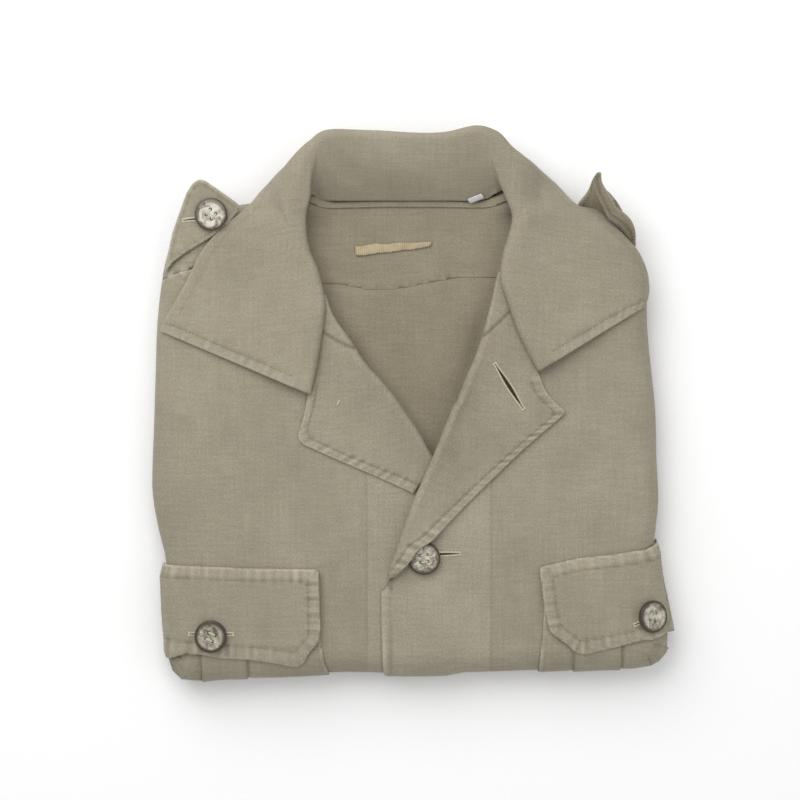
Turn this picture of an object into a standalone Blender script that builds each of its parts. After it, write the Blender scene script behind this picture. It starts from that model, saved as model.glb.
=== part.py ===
# A cotton safari jacket, folded flat and lying on its back, seen from its fronts.
# Right and left are the wearer's own: the wearer's left is +X. +Y runs up to the collar, +Z is up.
# The origin lies on the surface, under the middle of the folded jacket.
# Every table is in millimetres, and mm() turns it to metres.

from collections import namedtuple
from math import cos, exp, pi, sin, sqrt

import bmesh
import bpy
from mathutils import Vector

for old in list(bpy.data.objects):
    bpy.data.objects.remove(old, do_unlink=True)

# Driving sizes, in millimetres
ORIGIN_SHIFT = (-1.95, 1.35, 0.0)
CLOTH = 1.2
LEAF_CLOTH = 1.8
FLAP_CLOTH = 1.6
GAP = 0.4
EDGE_TOP = 26.0
EDGE_MIDDLE = 13.0
EDGE_ROUND = 14.0
EDGE_PACE = 13.5
CROWN = 3.0
CROWN_HALF_WIDTH = 175.0
CROWN_HALF_LENGTH = 185.0
GRID = 18.0
GRID_EDGE = 6.5
EDGE_WRAP = 22.0
DIP_DEPTH = 8.0
DIP_SHOULDER = 18.0
LAYER_EASE = 1.0
CORE_EASE = 4.8
EDGE_EASE = 2.4
STAND_EASE = 0.8
OVERLAP_LIFT = CLOTH + 2 * GAP
BUTTON_RADIUS = 10.2
BUTTON_THICK = 3.4
BUTTON_HOLE = 1.0
BUTTON_HOLE_PITCH = 2.1

Point = namedtuple("Point", "x y")
Ring = namedtuple("Ring", "out z")
Turned = namedtuple("Turned", "roll_x roll_y edge_x edge_y crest lift")
CollarRow = namedtuple("CollarRow", "roll_x roll_y edge_x edge_y crest hang")
Strap = namedtuple("Strap", "free_x free_y free_z")

# Where the flat of the folded slab ends and its edge starts to roll down, anticlockwise from the
# right shoulder
FLAT_EDGE = [Point(*row) for row in (
    (-126, 107), (-133, 100), (-138, 89), (-141, 74), (-143.5, 50), (-144.5, 20), (-145.5, -10),
    (-146.5, -38), (-146.5, -56), (-143, -76), (-139, -92), (-137.5, -108), (-136.5, -130),
    (-134, -144), (-129.5, -154.5), (-116, -156), (-80, -155.5), (-40, -153.5), (0, -155),
    (40, -153.5), (80, -152), (120, -149.5), (136, -148), (145, -143), (142.5, -128), (139.5, -112),
    (137.5, -95), (138.5, -80), (140.5, -60), (139.5, -36), (138.5, -5), (135.5, 25), (133.5, 50),
    (133, 72), (130, 87), (124, 97), (114, 105), (99, 110), (80, 114.5), (60, 118.5), (40, 121.5),
    (0, 123), (-40, 121.5), (-62, 118), (-84, 113), (-108, 109.5))]

# The edge of the layers folded underneath, from where the fronts end down to the surface
LAYER_EDGE = [Ring(*row) for row in (
    (11.5, 9.4), (12.2, 7.2), (9.6, 5.2), (11.4, 2.8), (8.8, 0.0))]

# The edge of the neck and the V, which the collar and the lapels roll over
RIGHT_ROLL = [Point(*row) for row in (
    (-62, 130), (-65, 117), (-64, 105), (-60, 90), (-54, 70), (-46.4, 52), (-36.6, 39.4), (-32, 31),
    (-24, 21), (-16, 12.5), (-6.4, 0), (2.6, -12.5), (9, -23), (13, -32))]
LEFT_ROLL = [Point(*row) for row in (
    (58, 130), (63, 117), (61, 105), (57, 92), (53.4, 78), (51.9, 70.4), (45.4, 45), (41.5, 33),
    (36, 19.4), (29.6, 3.4), (24.8, -6), (20.4, -17), (13.4, -33.6), (3.9, -56), (-4.4, -78),
    (-7, -85.6), (-13, -104), (-17, -112))]
YOKE_SEAM = [Point(*row) for row in (
    (-68, 76), (-50, 74.7), (-42, 74.4), (-26, 71.3), (-18, 71.3), (-2, 72.8), (18, 76.8),
    (34, 79), (53, 78.8), (66, 79))]
SHOULDER_SEAM_RIGHT = [Point(*row) for row in ((-180, 73), (-154, 79), (-137, 84), (-100, 92), (-66, 99))]
SHOULDER_SEAM_LEFT = [Point(*row) for row in ((64, 99), (96, 92), (128, 84), (150, 78), (180, 72))]

# Lapels, from foot to gorge: the roll line, the cut edge, the height of the roll and of the edge
# above the front
RIGHT_LAPEL = [Turned(*row) for row in (
    (11.0, -36.5, 2.0, -56.0, 2.4, 0), (6, -27, -11.4, -49.6, 4.0, 0), (0, -18, -30, -41.5, 5, 0),
    (-6, -7, -47, -34.2, 5.5, 0), (-11, 1, -60, -28.3, 5.5, 0), (-16, 9, -67.6, -24.6, 5.5, 0),
    (-20, 14, -69.8, -19.6, 5.5, 0), (-23, 18, -68.2, -14, 5.5, 0), (-27, 23, -65.6, -4, 5.5, 0),
    (-31, 29, -60.2, 10, 5.5, 0), (-37, 39, -56.4, 25, 5.5, 0), (-45.5, 51, -53.6, 47, 3, 0),
    (-49, 58, -52.4, 57, 1.4, 0))]
LEFT_LAPEL = [Turned(*row) for row in (
    (-15.6, -109, -9.5, -107, 2.2, 1.5), (-11, -97, -1.5, -99.4, 3.6, 5.4),
    (-7, -85.6, 5.1, -90.3, 4.4, 5.4), (-4.2, -77, 13.4, -85, 4.8, 4.0), (0, -66, 24.8, -73, 5, 1.0),
    (3.9, -56, 36.9, -60.8, 5.5, 0), (9, -44, 52, -46, 6, 0), (13.4, -33.6, 70, -28.8, 6, 0),
    (18, -23, 82, -18.3, 6, 0), (21.5, -14, 93.6, -8.3, 6, 0), (23.5, -9, 96.2, -4.6, 6, 0),
    (26, -3, 90, 1.3, 6, 0), (29.6, 3.4, 84.2, 8.5, 6, 0), (34, 15, 77.4, 18, 6, 0),
    (40.5, 30, 71, 30, 6, 0), (45.4, 45, 64.6, 44, 5, 0), (50, 62, 58.4, 61, 2.4, 0),
    (52, 71, 55.6, 70.5, 1.4, 0))]

# The collar, from its right point round the back of the neck to its left point: the roll, the
# outer edge, the height of the roll, and how far the cloth stands up and hangs behind (0 to 1)
COLLAR = [CollarRow(*row) for row in (
    (-62, 5.6, -156.5, 45.6, 37.5, 0), (-58.5, 21, -152.5, 53.8, 38.5, 0),
    (-55.4, 38, -147, 63, 38.5, 0), (-53.2, 55, -141.4, 73, 38, 0), (-53.2, 65, -136.4, 83, 38, 0),
    (-57, 82.5, -130.2, 95, 38, 0), (-62, 94, -119, 108.5, 38.5, 0), (-64.6, 105, -103, 122.5, 39, 0.05),
    (-65.2, 117.5, -92.7, 132.8, 40, 0.3), (-62.8, 129.5, -82.7, 142.8, 41, 0.62),
    (-61.4, 144, -71.4, 154.4, 42, 0.86), (-57.5, 157, -62, 163.8, 43, 0.96),
    (-50, 163, -51, 170, 43.5, 1), (-25, 163, -25, 169.6, 43, 1), (0, 162, 0, 168.4, 42.5, 1),
    (22, 162.5, 22, 168.8, 43, 1), (40, 165, 41, 172.6, 43.5, 1), (48.5, 160, 54, 169, 43, 0.96),
    (52.3, 150, 63.6, 160.3, 42, 0.86), (55.4, 139, 76, 149.4, 41, 0.62),
    (59.4, 128, 91, 137, 40, 0.3), (63.2, 117, 105, 124.6, 39, 0.05), (61.5, 106, 118.6, 120.5, 38.5, 0),
    (58.5, 97, 130, 109, 38, 0), (56, 86, 141.7, 96.5, 38, 0), (56, 76, 148, 84, 38, 0),
    (60.4, 63, 149.6, 73, 38.5, 0), (68.3, 41, 148.6, 66, 38.5, 0), (79.2, 19.7, 146.6, 61, 37.5, 0))]
COLLAR_SEAM_Y = 128.5
COLLAR_SEAM_Z = 23.6
COLLAR_END_Z = 5.0
COLLAR_TUCK = 9.0
STAND_WIDTH = 9.0
LEAF_EASE = 0.7

# Pocket flaps and pockets; outlines run past the rolled sides, as the cloth does
RIGHT_FLAP = [Point(*row) for row in (
    (-162, -99.5), (-135, -101), (-100, -102.3), (-57, -103), (-56.4, -120), (-55.9, -142),
    (-57.5, -150), (-67.5, -161.6), (-71.5, -163), (-87, -161.2), (-102, -160), (-119, -160.4),
    (-134, -159.8), (-160, -158.5))]
LEFT_FLAP = [Point(*row) for row in (
    (80.2, -101.5), (104.7, -96), (128.6, -93.4), (146, -90.5), (163, -85), (169, -143.5),
    (152.6, -150.2), (133.4, -153.8), (108.3, -157.4), (102.3, -156.5), (86.7, -143.8), (83.5, -128.8))]
RIGHT_POCKET = [Point(*row) for row in (
    (-160, -106), (-59, -106), (-57, -140), (-53.6, -160.6), (-50.6, -170), (-50.6, -176), (-126, -177),
    (-152, -168))]
LEFT_POCKET = [Point(*row) for row in (
    (160, -98), (87, -104), (83.2, -130), (82.3, -145), (81, -157), (80.2, -174), (128, -171.5),
    (160, -166))]
PLEATS_RIGHT = (-131.0, -101.5)
PLEATS_LEFT = (102.0, 132.0)
PLEAT_RISE = 1.0
PLEAT_RAMP = 2.5

RIGHT_EPAULETTE = [Point(*row) for row in (
    (-160, 80), (-153, 118), (-142, 130), (-136.4, 136), (-130.5, 139.8), (-127.7, 139.4),
    (-107.2, 124.6), (-107, 120), (-115.2, 112.4), (-125.6, 104), (-136.6, 97), (-145, 91.6),
    (-154, 84))]
LEFT_EPAULETTE = [Strap(*row) for row in (
    (117.4, 144.6, 24), (119.2, 138.8, 29), (122, 133, 32), (126.7, 126.8, 33), (130.2, 121.6, 33),
    (134.4, 117.6, 32), (139.4, 110.8, 29), (142, 103.6, 24))]
EPAULETTE_CLOTH = 2.0
EPAULETTE_BEND_X = -141.0
EPAULETTE_Z = EDGE_TOP + 3.2
EPAULETTE_FOOT_Z = 12.0
EPAULETTE_SEAT = 17.6

LABEL = [Point(*row) for row in ((-34.6, 99), (-34, 92.2), (-10, 95.4), (12.8, 98.4), (13.4, 101.6), (-10, 102))]
BINDING_TOP = 127.2
BINDING_FOOT = 123.4
TAB_CORNERS = [Point(*row) for row in ((35.5, 128), (44.8, 131.6), (46.2, 128.4), (37, 125))]
TAB_Z = 25.6
TAB_SLOPE = 0.8

COLLECTION = bpy.data.collections.new("safari_jacket")
CUTTERS = bpy.data.collections.new("cutters")
bpy.context.scene.collection.children.link(COLLECTION)
bpy.context.scene.collection.children.link(CUTTERS)


def material(name, red, green, blue, rough):
    made = bpy.data.materials.new(name)
    made.use_nodes = True
    shader = made.node_tree.nodes["Principled BSDF"]
    shader.inputs["Base Color"].default_value = (red, green, blue, 1)
    shader.inputs["Roughness"].default_value = rough
    shader.inputs["Metallic"].default_value = 0
    return made


TWILL = material("khaki_twill", 0.34, 0.30, 0.22, 0.9)
LINING_SIDE = material("inside_twill", 0.27, 0.24, 0.17, 0.9)
TAPE = material("label_tape", 0.56, 0.49, 0.33, 0.85)
WHITE_TAPE = material("white_tape", 0.72, 0.72, 0.72, 0.8)
HORN = material("horn_button", 0.42, 0.38, 0.30, 0.35)


def mm(vector):
    return Vector(vector) * 0.001


def smoothstep(value):
    value = min(max(value, 0.0), 1.0)
    return value * value * (3 - 2 * value)


def spline(points, closed=False, steps=3):
    """Points of a Catmull-Rom curve through the given ones."""
    count = len(points)
    made = []
    for index in range(count if closed else count - 1):
        if closed:
            four = [points[(index + shift) % count] for shift in (-1, 0, 1, 2)]
        else:
            four = [points[min(max(index + shift, 0), count - 1)] for shift in (-1, 0, 1, 2)]
        p0, p1, p2, p3 = [Vector(point) for point in four]
        for step in range(steps):
            t = step / steps
            made.append(0.5 * (2 * p1 + (p2 - p0) * t + (2 * p0 - 5 * p1 + 4 * p2 - p3) * t * t
                               + (3 * p1 - p0 - 3 * p2 + p3) * t * t * t))
    if not closed:
        made.append(Vector(points[-1]))
    return made


EDGE_CURVE = spline(FLAT_EDGE, closed=True)


def edge_normals(curve):
    """Outward normals of an anticlockwise closed curve."""
    normals = []
    for index, point in enumerate(curve):
        along = curve[(index + 1) % len(curve)] - curve[index - 1]
        normals.append(Vector((along.y, -along.x)).normalized())
    return normals


EDGE_NORMALS = edge_normals(EDGE_CURVE)


def nearest_edge(x, y):
    """The nearest point of the flat's edge, the normal there, and how far outside it (x, y) lies."""
    place = Vector((x, y))
    best = None
    for index, start in enumerate(EDGE_CURVE):
        following = (index + 1) % len(EDGE_CURVE)
        side = EDGE_CURVE[following] - start
        share = min(max((place - start).dot(side) / side.length_squared, 0.0), 1.0)
        foot = start + side * share
        distance = (place - foot).length
        if best is None or distance < best[0]:
            normal = EDGE_NORMALS[index].lerp(EDGE_NORMALS[following], share).normalized()
            best = (distance, foot, normal)
    distance, foot, normal = best
    if (place - foot).dot(normal) < 0:
        distance = -distance
    return foot, normal, distance


def top(x, y):
    """Height of the slab's crowned top."""
    across = cos(pi / 2 * min(abs(x) / CROWN_HALF_WIDTH, 1.0))
    along = cos(pi / 2 * min(abs(y + 15) / CROWN_HALF_LENGTH, 1.0))
    return EDGE_TOP + CROWN * across * along


def skin(x, y, height):
    """The point at a height over the slab's skin; past the flat's edge it follows the rolled side."""
    foot, normal, out = nearest_edge(x, y)
    if out <= 0:
        return Vector((x, y, top(x, y) + height))
    turn = out / EDGE_PACE
    reach = (EDGE_ROUND + height) * sin(turn)
    rise = top(foot.x, foot.y) - EDGE_MIDDLE + height
    return Vector((foot.x + normal.x * reach, foot.y + normal.y * reach, EDGE_MIDDLE + rise * cos(turn)))


def over_edge(x, y):
    """0 on the flat, rising to 1 where a layer rolls over the slab's edge."""
    return smoothstep((nearest_edge(x, y)[2] + 6) / 8)


def drape(x, y, height):
    """Height over the surface of a layer seen from above at (x, y)."""
    foot, normal, out = nearest_edge(x, y)
    if out <= 0:
        return top(x, y) + height
    share = min(out / (EDGE_ROUND + height), 0.97)
    rise = top(foot.x, foot.y) - EDGE_MIDDLE + height
    return EDGE_MIDDLE + rise * sqrt(1 - share * share)


NECK = RIGHT_ROLL + LEFT_ROLL[12::-1]


def outside_neck(x, y):
    """Distance of (x, y) outside the neck and V, 0 inside them."""
    place = Vector((x, y))
    inside = False
    nearest = 1e9
    for index, (ax, ay) in enumerate(NECK):
        bx, by = NECK[(index + 1) % len(NECK)]
        if (ay > y) != (by > y) and x < (bx - ax) * (y - ay) / (by - ay) + ax:
            inside = not inside
        start = Vector((ax, ay))
        side = Vector((bx - ax, by - ay))
        share = min(max((place - start).dot(side) / side.length_squared, 0.0), 1.0)
        nearest = min(nearest, (place - start - side * share).length)
    return 0.0 if inside else nearest


def dip(x, y):
    """How far the layers lie lower, in and round the neck."""
    return DIP_DEPTH * (1 - smoothstep(outside_neck(x, y) / DIP_SHOULDER))


def grid_lines(low, high, fine_low, fine_high, extra=()):
    """Grid lines, closer together over the rolled edges."""
    lines = list(extra)
    place = fine_low
    while place > low:
        lines.append(place)
        place -= GRID_EDGE
    count = round((fine_high - fine_low) / GRID)
    lines += [fine_low + (fine_high - fine_low) * step / count for step in range(1, count)]
    place = fine_high
    while place < high:
        lines.append(place)
        place += GRID_EDGE
    return sorted(lines)


X_LINES = grid_lines(-190, 190, -130, 122)
Y_LINES = grid_lines(-200, 175, -148, 99)


def sheet(outline, x_extra=()):
    """A flat piece of cloth of the outline, parted along the shared grid lines."""
    mesh = bmesh.new()
    corners = [mesh.verts.new((point[0], point[1], 0)) for point in outline]
    mesh.faces.new(corners)
    for lines, axis in ((list(X_LINES) + list(x_extra), (1, 0, 0)), (Y_LINES, (0, 1, 0))):
        for place in lines:
            bmesh.ops.bisect_plane(mesh, geom=mesh.verts[:] + mesh.edges[:] + mesh.faces[:], dist=0.02,
                                   plane_co=Vector(axis) * place, plane_no=axis)
    bmesh.ops.remove_doubles(mesh, verts=mesh.verts[:], dist=0.25)
    bmesh.ops.dissolve_degenerate(mesh, edges=mesh.edges[:], dist=0.05)
    for face in mesh.faces:
        if face.normal.z < 0:
            face.normal_flip()
    bmesh.ops.triangulate(mesh, faces=mesh.faces[:], quad_method="FIXED", ngon_method="EAR_CLIP")
    return mesh


def face_outwards(mesh):
    bmesh.ops.recalc_face_normals(mesh, faces=mesh.faces[:])
    if mesh.calc_volume(signed=True) < 0:
        bmesh.ops.reverse_faces(mesh, faces=mesh.faces[:])


def add_object(name, mesh, finish):
    """Turns a mesh in millimetres into a named object of the jacket."""
    bmesh.ops.scale(mesh, vec=(0.001, 0.001, 0.001), verts=mesh.verts[:])
    data = bpy.data.meshes.new(name)
    mesh.to_mesh(data)
    mesh.free()
    data.materials.append(finish)
    data.shade_smooth()
    data.set_sharp_from_angle(angle=0.7)
    made = bpy.data.objects.new(name, data)
    COLLECTION.objects.link(made)
    made.location = mm(ORIGIN_SHIFT)
    return made


def thicken(mesh, wall):
    raised = bmesh.ops.extrude_face_region(mesh, geom=mesh.faces[:], use_keep_orig=True)
    bmesh.ops.translate(mesh, vec=(0, 0, wall),
                        verts=[item for item in raised["geom"] if isinstance(item, bmesh.types.BMVert)])


def flat_piece(name, outline, lift, wall, finish, x_extra=()):
    """Cloth cut flat, given its wall, and laid over the slab's skin at lift(x, y)."""
    mesh = sheet(outline, x_extra)
    thicken(mesh, wall)
    for vert in mesh.verts:
        x, y, z = vert.co
        vert.co = skin(x, y, lift(x, y) + z)
    face_outwards(mesh)
    return add_object(name, mesh, finish)


def loft(name, sections, wall, finish):
    """Cloth lofted through sections of equal point counts, its wall on both sides of them."""
    mesh = bmesh.new()
    rows = [[mesh.verts.new(point) for point in section] for section in sections]
    for low, high in zip(rows, rows[1:]):
        for index in range(len(low) - 1):
            mesh.faces.new((low[index], low[index + 1], high[index + 1], high[index]))
    bmesh.ops.triangulate(mesh, faces=mesh.faces[:], quad_method="SHORT_EDGE")
    made = add_object(name, mesh, finish)
    shell = made.modifiers.new("wall", "SOLIDIFY")
    shell.thickness = wall * 0.001
    shell.offset = 0
    return made


def offset_edge(distance):
    return [point + normal * distance for point, normal in zip(EDGE_CURVE, EDGE_NORMALS)]


def side_run(distance, start_y, end_y, side):
    """The wrapped edge of a front, round one side of the slab, from start_y down to end_y."""
    run = [point for point in offset_edge(distance)
           if point.x * side > 100 and end_y < point.y < start_y]
    return sorted(run, key=lambda point: -point.y)


def front_lift(x, y):
    return GAP


def left_front_lift(x, y):
    return GAP + OVERLAP_LIFT * (1 - smoothstep((x - 20) / 16))


def right_ground(x, y):
    return GAP + CLOTH + GAP


def left_ground(x, y):
    return left_front_lift(x, y) + CLOTH + 2 * GAP


def turned_section(row, ground, wall):
    """A lapel's section: a strip under the roll, the roll, and the cloth laid back to its cut edge."""
    roll = Vector((row.roll_x, row.roll_y))
    edge = Vector((row.edge_x, row.edge_y))
    width = (edge - roll).length
    out = (edge - roll) / width
    floor = top(roll.x, roll.y) + ground(roll.x, roll.y) + wall / 2
    radius = row.crest / 2
    strip = min(7.0, width * 0.45)
    points = []
    for share in (1.0, 0.6):
        place = roll + out * strip * share
        points.append(Vector((place.x, place.y, floor)))
    centre = roll + out * (radius + wall / 2)
    for step in range(5):
        angle = -pi / 2 - pi * step / 4
        place = centre + out * radius * cos(angle)
        points.append(Vector((place.x, place.y, floor + radius + radius * sin(-angle) * -1)))
    start = radius + wall / 2
    for share in (0.12, 0.28, 0.48, 0.72, 1.0):
        reach = start + (width - start) * share
        place = roll + out * reach
        laid = drape(place.x, place.y, ground(place.x, place.y) + wall / 2)
        rise = row.crest * exp(-(reach - start) / 15) * (1 - share ** 3) + row.lift * share
        points.append(Vector((place.x, place.y, laid + rise)))
    return points


def collar_section(row):
    """The collar's section: stand, roll and fall; hang blends a leaf lying flat with the back."""
    roll = Vector((row.roll_x, row.roll_y))
    edge = Vector((row.edge_x, row.edge_y))
    width = (edge - roll).length
    out = (edge - roll) / width
    half = LEAF_CLOTH / 2
    floor = top(roll.x, roll.y) + right_ground(roll.x, roll.y) + GAP + half
    radius = (row.crest - half - floor) / 2
    lying = []
    for share in (1.0, 0.55):
        place = roll + out * STAND_WIDTH * share
        lying.append(Vector((place.x, place.y, floor)))
    centre = roll + out * (radius + half)
    for step in range(5):
        angle = pi * step / 4
        place = centre - out * radius * sin(angle)
        lying.append(Vector((place.x, place.y, floor + radius - radius * cos(angle))))
    start = radius + half
    for share in (0.1, 0.22, 0.38, 0.55, 0.7, 0.82, 0.92, 1.0):
        reach = start + (width - start) * share
        place = roll + out * reach
        laid = drape(place.x, place.y, right_ground(place.x, place.y) + LEAF_EASE + half)
        rise = (row.crest - half - top(roll.x, roll.y) - right_ground(0, 0)) * exp(-(reach - start) / 30)
        lying.append(Vector((place.x, place.y, laid + rise * (1 - share ** 4))))
    seam = Vector((min(max(roll.x, -60), 56), COLLAR_SEAM_Y, COLLAR_SEAM_Z))
    ridge = Vector((roll.x, roll.y, row.crest - half))
    standing = [seam.lerp(ridge, share) + Vector((0, 0, 3 * sin(pi * share))) for share in (0, 0.2, 0.4, 0.6, 0.8)]
    shoulder = Vector((edge.x, edge.y, row.crest - half)) - Vector((out.x, out.y, 0)) * half
    standing.append(ridge)
    standing.append(ridge.lerp(shoulder, 0.55) + Vector((0, 0, 0.3)))
    for share in (0.05, 0.15, 0.28, 0.42, 0.56, 0.7, 0.85, 1.0):
        tuck = COLLAR_TUCK * share ** 2 + half
        place = edge - out * tuck
        height = row.crest - half - 1.2 + (COLLAR_END_Z - row.crest + half + 1.2) * share
        standing.append(Vector((place.x, place.y, height)))
    section = [flat.lerp(risen, row.hang) for flat, risen in zip(lying, standing)]
    clear = right_ground(0, 0) + LEAF_EASE + half
    for point in section[:7]:
        if outside_neck(point.x, point.y) > 0.2:
            point.z = max(point.z, drape(point.x, point.y, clear + STAND_EASE - LEAF_EASE))
    for point in section[7:]:
        _, _, beyond = nearest_edge(point.x, point.y)
        if beyond < EDGE_ROUND + clear:
            point.z = max(point.z, drape(point.x, point.y, clear))
    return section


def smooth_sections(sections, steps):
    """More sections between the given ones, on a curve through them."""
    runs = [spline([section[index] for section in sections], steps=steps) for index in range(len(sections[0]))]
    return [list(section) for section in zip(*runs)]


def build_hidden_layers():
    """The sleeves, skirts and back, folded under: one rounded solid, layered at its edge."""
    mesh = sheet(offset_edge(EDGE_WRAP - 1)[::2])
    for vert in mesh.verts:
        x, y, _ = vert.co
        point = skin(x, y, -EDGE_EASE * over_edge(x, y))
        point.z -= dip(x, y) + CORE_EASE * smoothstep(dip(x, y) / 3)
        vert.co = point
    for ring in LAYER_EDGE:
        rim = [edge for edge in mesh.edges if edge.is_boundary]
        made = bmesh.ops.extrude_edge_only(mesh, edges=rim)["geom"]
        for item in made:
            if isinstance(item, bmesh.types.BMVert):
                foot, normal, _ = nearest_edge(item.co.x, item.co.y)
                item.co = Vector((foot.x + normal.x * ring.out, foot.y + normal.y * ring.out, ring.z))
    bmesh.ops.holes_fill(mesh, edges=[edge for edge in mesh.edges if edge.is_boundary], sides=0)
    bmesh.ops.triangulate(mesh, faces=mesh.faces[:])
    face_outwards(mesh)
    add_object("hidden_layers", mesh, TWILL)


def build_fronts():
    neck_right = [(point.x - 2.5, point.y - 1.0) for point in RIGHT_ROLL if point.y < 100]
    side_right = side_run(EDGE_WRAP, 74.5, -152, -1)
    foot = [point for point in offset_edge(EDGE_WRAP) if point.y < -160]
    foot.sort(key=lambda point: point.x)
    outline = [(point.x, point.y) for point in side_right]
    outline += [(point.x, point.y) for point in foot if point.x < 14]
    outline += [(16, foot[0].y), (16, -42)]
    outline += neck_right[::-1]
    outline += [(point.x, point.y - 0.2) for point in SHOULDER_SEAM_RIGHT[3:0:-1]]
    flat_piece("front_right", outline, front_lift, CLOTH, TWILL)

    neck_left = [(point.x + 2.5, point.y - 1.0) for point in LEFT_ROLL if point.y < 100]
    side_left = side_run(EDGE_WRAP, 74.5, -152, 1)
    outline = list(neck_left)
    outline += [(-18, -118), (-18, -150), (-16.5, foot[0].y)]
    outline += [(point.x, point.y) for point in foot if point.x > -14]
    outline += [(point.x, point.y) for point in side_left[::-1]]
    outline += [(point.x, point.y - 0.2) for point in SHOULDER_SEAM_LEFT[3:0:-1]]
    flat_piece("front_left", outline, left_front_lift, CLOTH, TWILL)


def build_back_yoke():
    rim = offset_edge(EDGE_WRAP)
    over_top = [point for point in rim if point.y > 78]
    over_top.sort(key=lambda point: point.x)
    outline = [(point.x, point.y) for point in over_top]
    outline += [(point.x, point.y + 0.2) for point in SHOULDER_SEAM_LEFT[3:0:-1]]
    outline += [(point.x + 5, point.y) for point in LEFT_ROLL if point.y > 100][::-1]
    outline += [(58, 133), (0, 134.5), (-62, 133)]
    outline += [(point.x - 5, point.y) for point in RIGHT_ROLL if point.y > 100]
    outline += [(point.x, point.y + 0.2) for point in SHOULDER_SEAM_RIGHT[4:0:-1]]
    flat_piece("back_yoke", outline, front_lift, CLOTH, TWILL)


def inside_lift(x, y):
    return GAP - dip(x, y)


def build_inside():
    """The inner side of the back and of its yoke, in the neck."""
    seam_right = [(point.x, point.y + 0.2) for point in YOKE_SEAM]
    sides = [(62, 92), (67, 105), (68, 117), (63, 129.5), (0, 131), (-67, 129.5), (-70, 117), (-69, 105),
             (-65, 92)]
    flat_piece("inner_yoke", seam_right[1:-1] + [(57, 80)] + sides + [(-58, 76)], inside_lift, CLOTH, LINING_SIDE)
    seam_left = [(point.x, point.y - 0.2) for point in YOKE_SEAM]
    lower = [(57, 70), (50, 45), (41, 18), (30, -6), (19, -32), (14, -36), (5, -28), (-8, -11), (-22, 4),
             (-38, 22), (-52, 44), (-58, 62)]
    flat_piece("inner_back", seam_left[::-1][1:-1] + lower[::-1], inside_lift, CLOTH, LINING_SIDE)


def on_inside_lift(x, y):
    return inside_lift(x, y) + CLOTH + GAP


def build_neck_trims():
    band = [(x, BINDING_TOP) for x in (-55, 0, 52)] + [(x, BINDING_FOOT) for x in (52, 0, -55)]
    flat_piece("neck_binding", band, on_inside_lift, 0.8, LINING_SIDE)
    flat_piece("neck_label", LABEL, on_inside_lift, 0.8, TAPE)

    mesh = sheet(TAB_CORNERS)
    thicken(mesh, 0.8)
    for vert in mesh.verts:
        vert.co.z += TAB_Z + TAB_SLOPE * (vert.co.y - COLLAR_SEAM_Y)
    face_outwards(mesh)
    add_object("size_tab", mesh, WHITE_TAPE)


def pleated(pleats):
    """Height of a pocket over its front, with a box pleat down its middle."""
    def lift(x, y):
        inward = min(x - pleats[0], pleats[1] - x)
        rise = PLEAT_RISE * smoothstep(inward / PLEAT_RAMP)
        return GAP + CLOTH + GAP + rise + LAYER_EASE * over_edge(x, y)
    return lift


def flap_lift(x, y):
    return 4 * GAP + 2 * CLOTH + PLEAT_RISE + 1.7 * LAYER_EASE * over_edge(x, y)


def build_pockets():
    for side, outline, pleats in (("right", RIGHT_POCKET, PLEATS_RIGHT), ("left", LEFT_POCKET, PLEATS_LEFT)):
        steps = [place + shift for place, shift in zip(pleats, (PLEAT_RAMP, -PLEAT_RAMP))]
        flat_piece("pocket_" + side, outline, pleated(pleats), CLOTH, TWILL, x_extra=list(pleats) + steps)
    for side, outline in (("right", RIGHT_FLAP), ("left", LEFT_FLAP)):
        flat_piece("flap_" + side, outline, flap_lift, FLAP_CLOTH, TWILL)


def build_lapels():
    sections = [turned_section(row, right_ground, 1.4) for row in RIGHT_LAPEL]
    loft("lapel_right", sections, 1.4, TWILL)
    sections = [turned_section(row, left_ground, 1.4) for row in LEFT_LAPEL]
    loft("lapel_left", sections, 1.4, TWILL)


def build_collar():
    sections = [collar_section(row) for row in COLLAR]
    loft("collar", sections, LEAF_CLOTH, TWILL)


def build_epaulettes():
    mesh = sheet(RIGHT_EPAULETTE)
    thicken(mesh, EPAULETTE_CLOTH)
    for vert in mesh.verts:
        x, y, z = vert.co
        out = max(EPAULETTE_BEND_X + max(y - 80, 0) * 0.2 - x, 0.0)
        share = min(out / (EDGE_ROUND + 4), 0.95)
        vert.co.z = EDGE_MIDDLE + (EPAULETTE_Z + z - EDGE_MIDDLE) * sqrt(1 - share * share)
    face_outwards(mesh)
    add_object("epaulette_right", mesh, TWILL)

    sections = []
    for row in LEFT_EPAULETTE:
        edge, normal, _ = nearest_edge(row.free_x, row.free_y)
        seat = edge + normal * EPAULETTE_SEAT
        foot = Vector((seat.x, seat.y, EPAULETTE_FOOT_Z))
        free = Vector((row.free_x, row.free_y, row.free_z))
        sections.append([foot.lerp(free, share) for share in (0, 0.35, 0.7, 1)])
    loft("epaulette_left", sections, EPAULETTE_CLOTH, TWILL)


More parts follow.
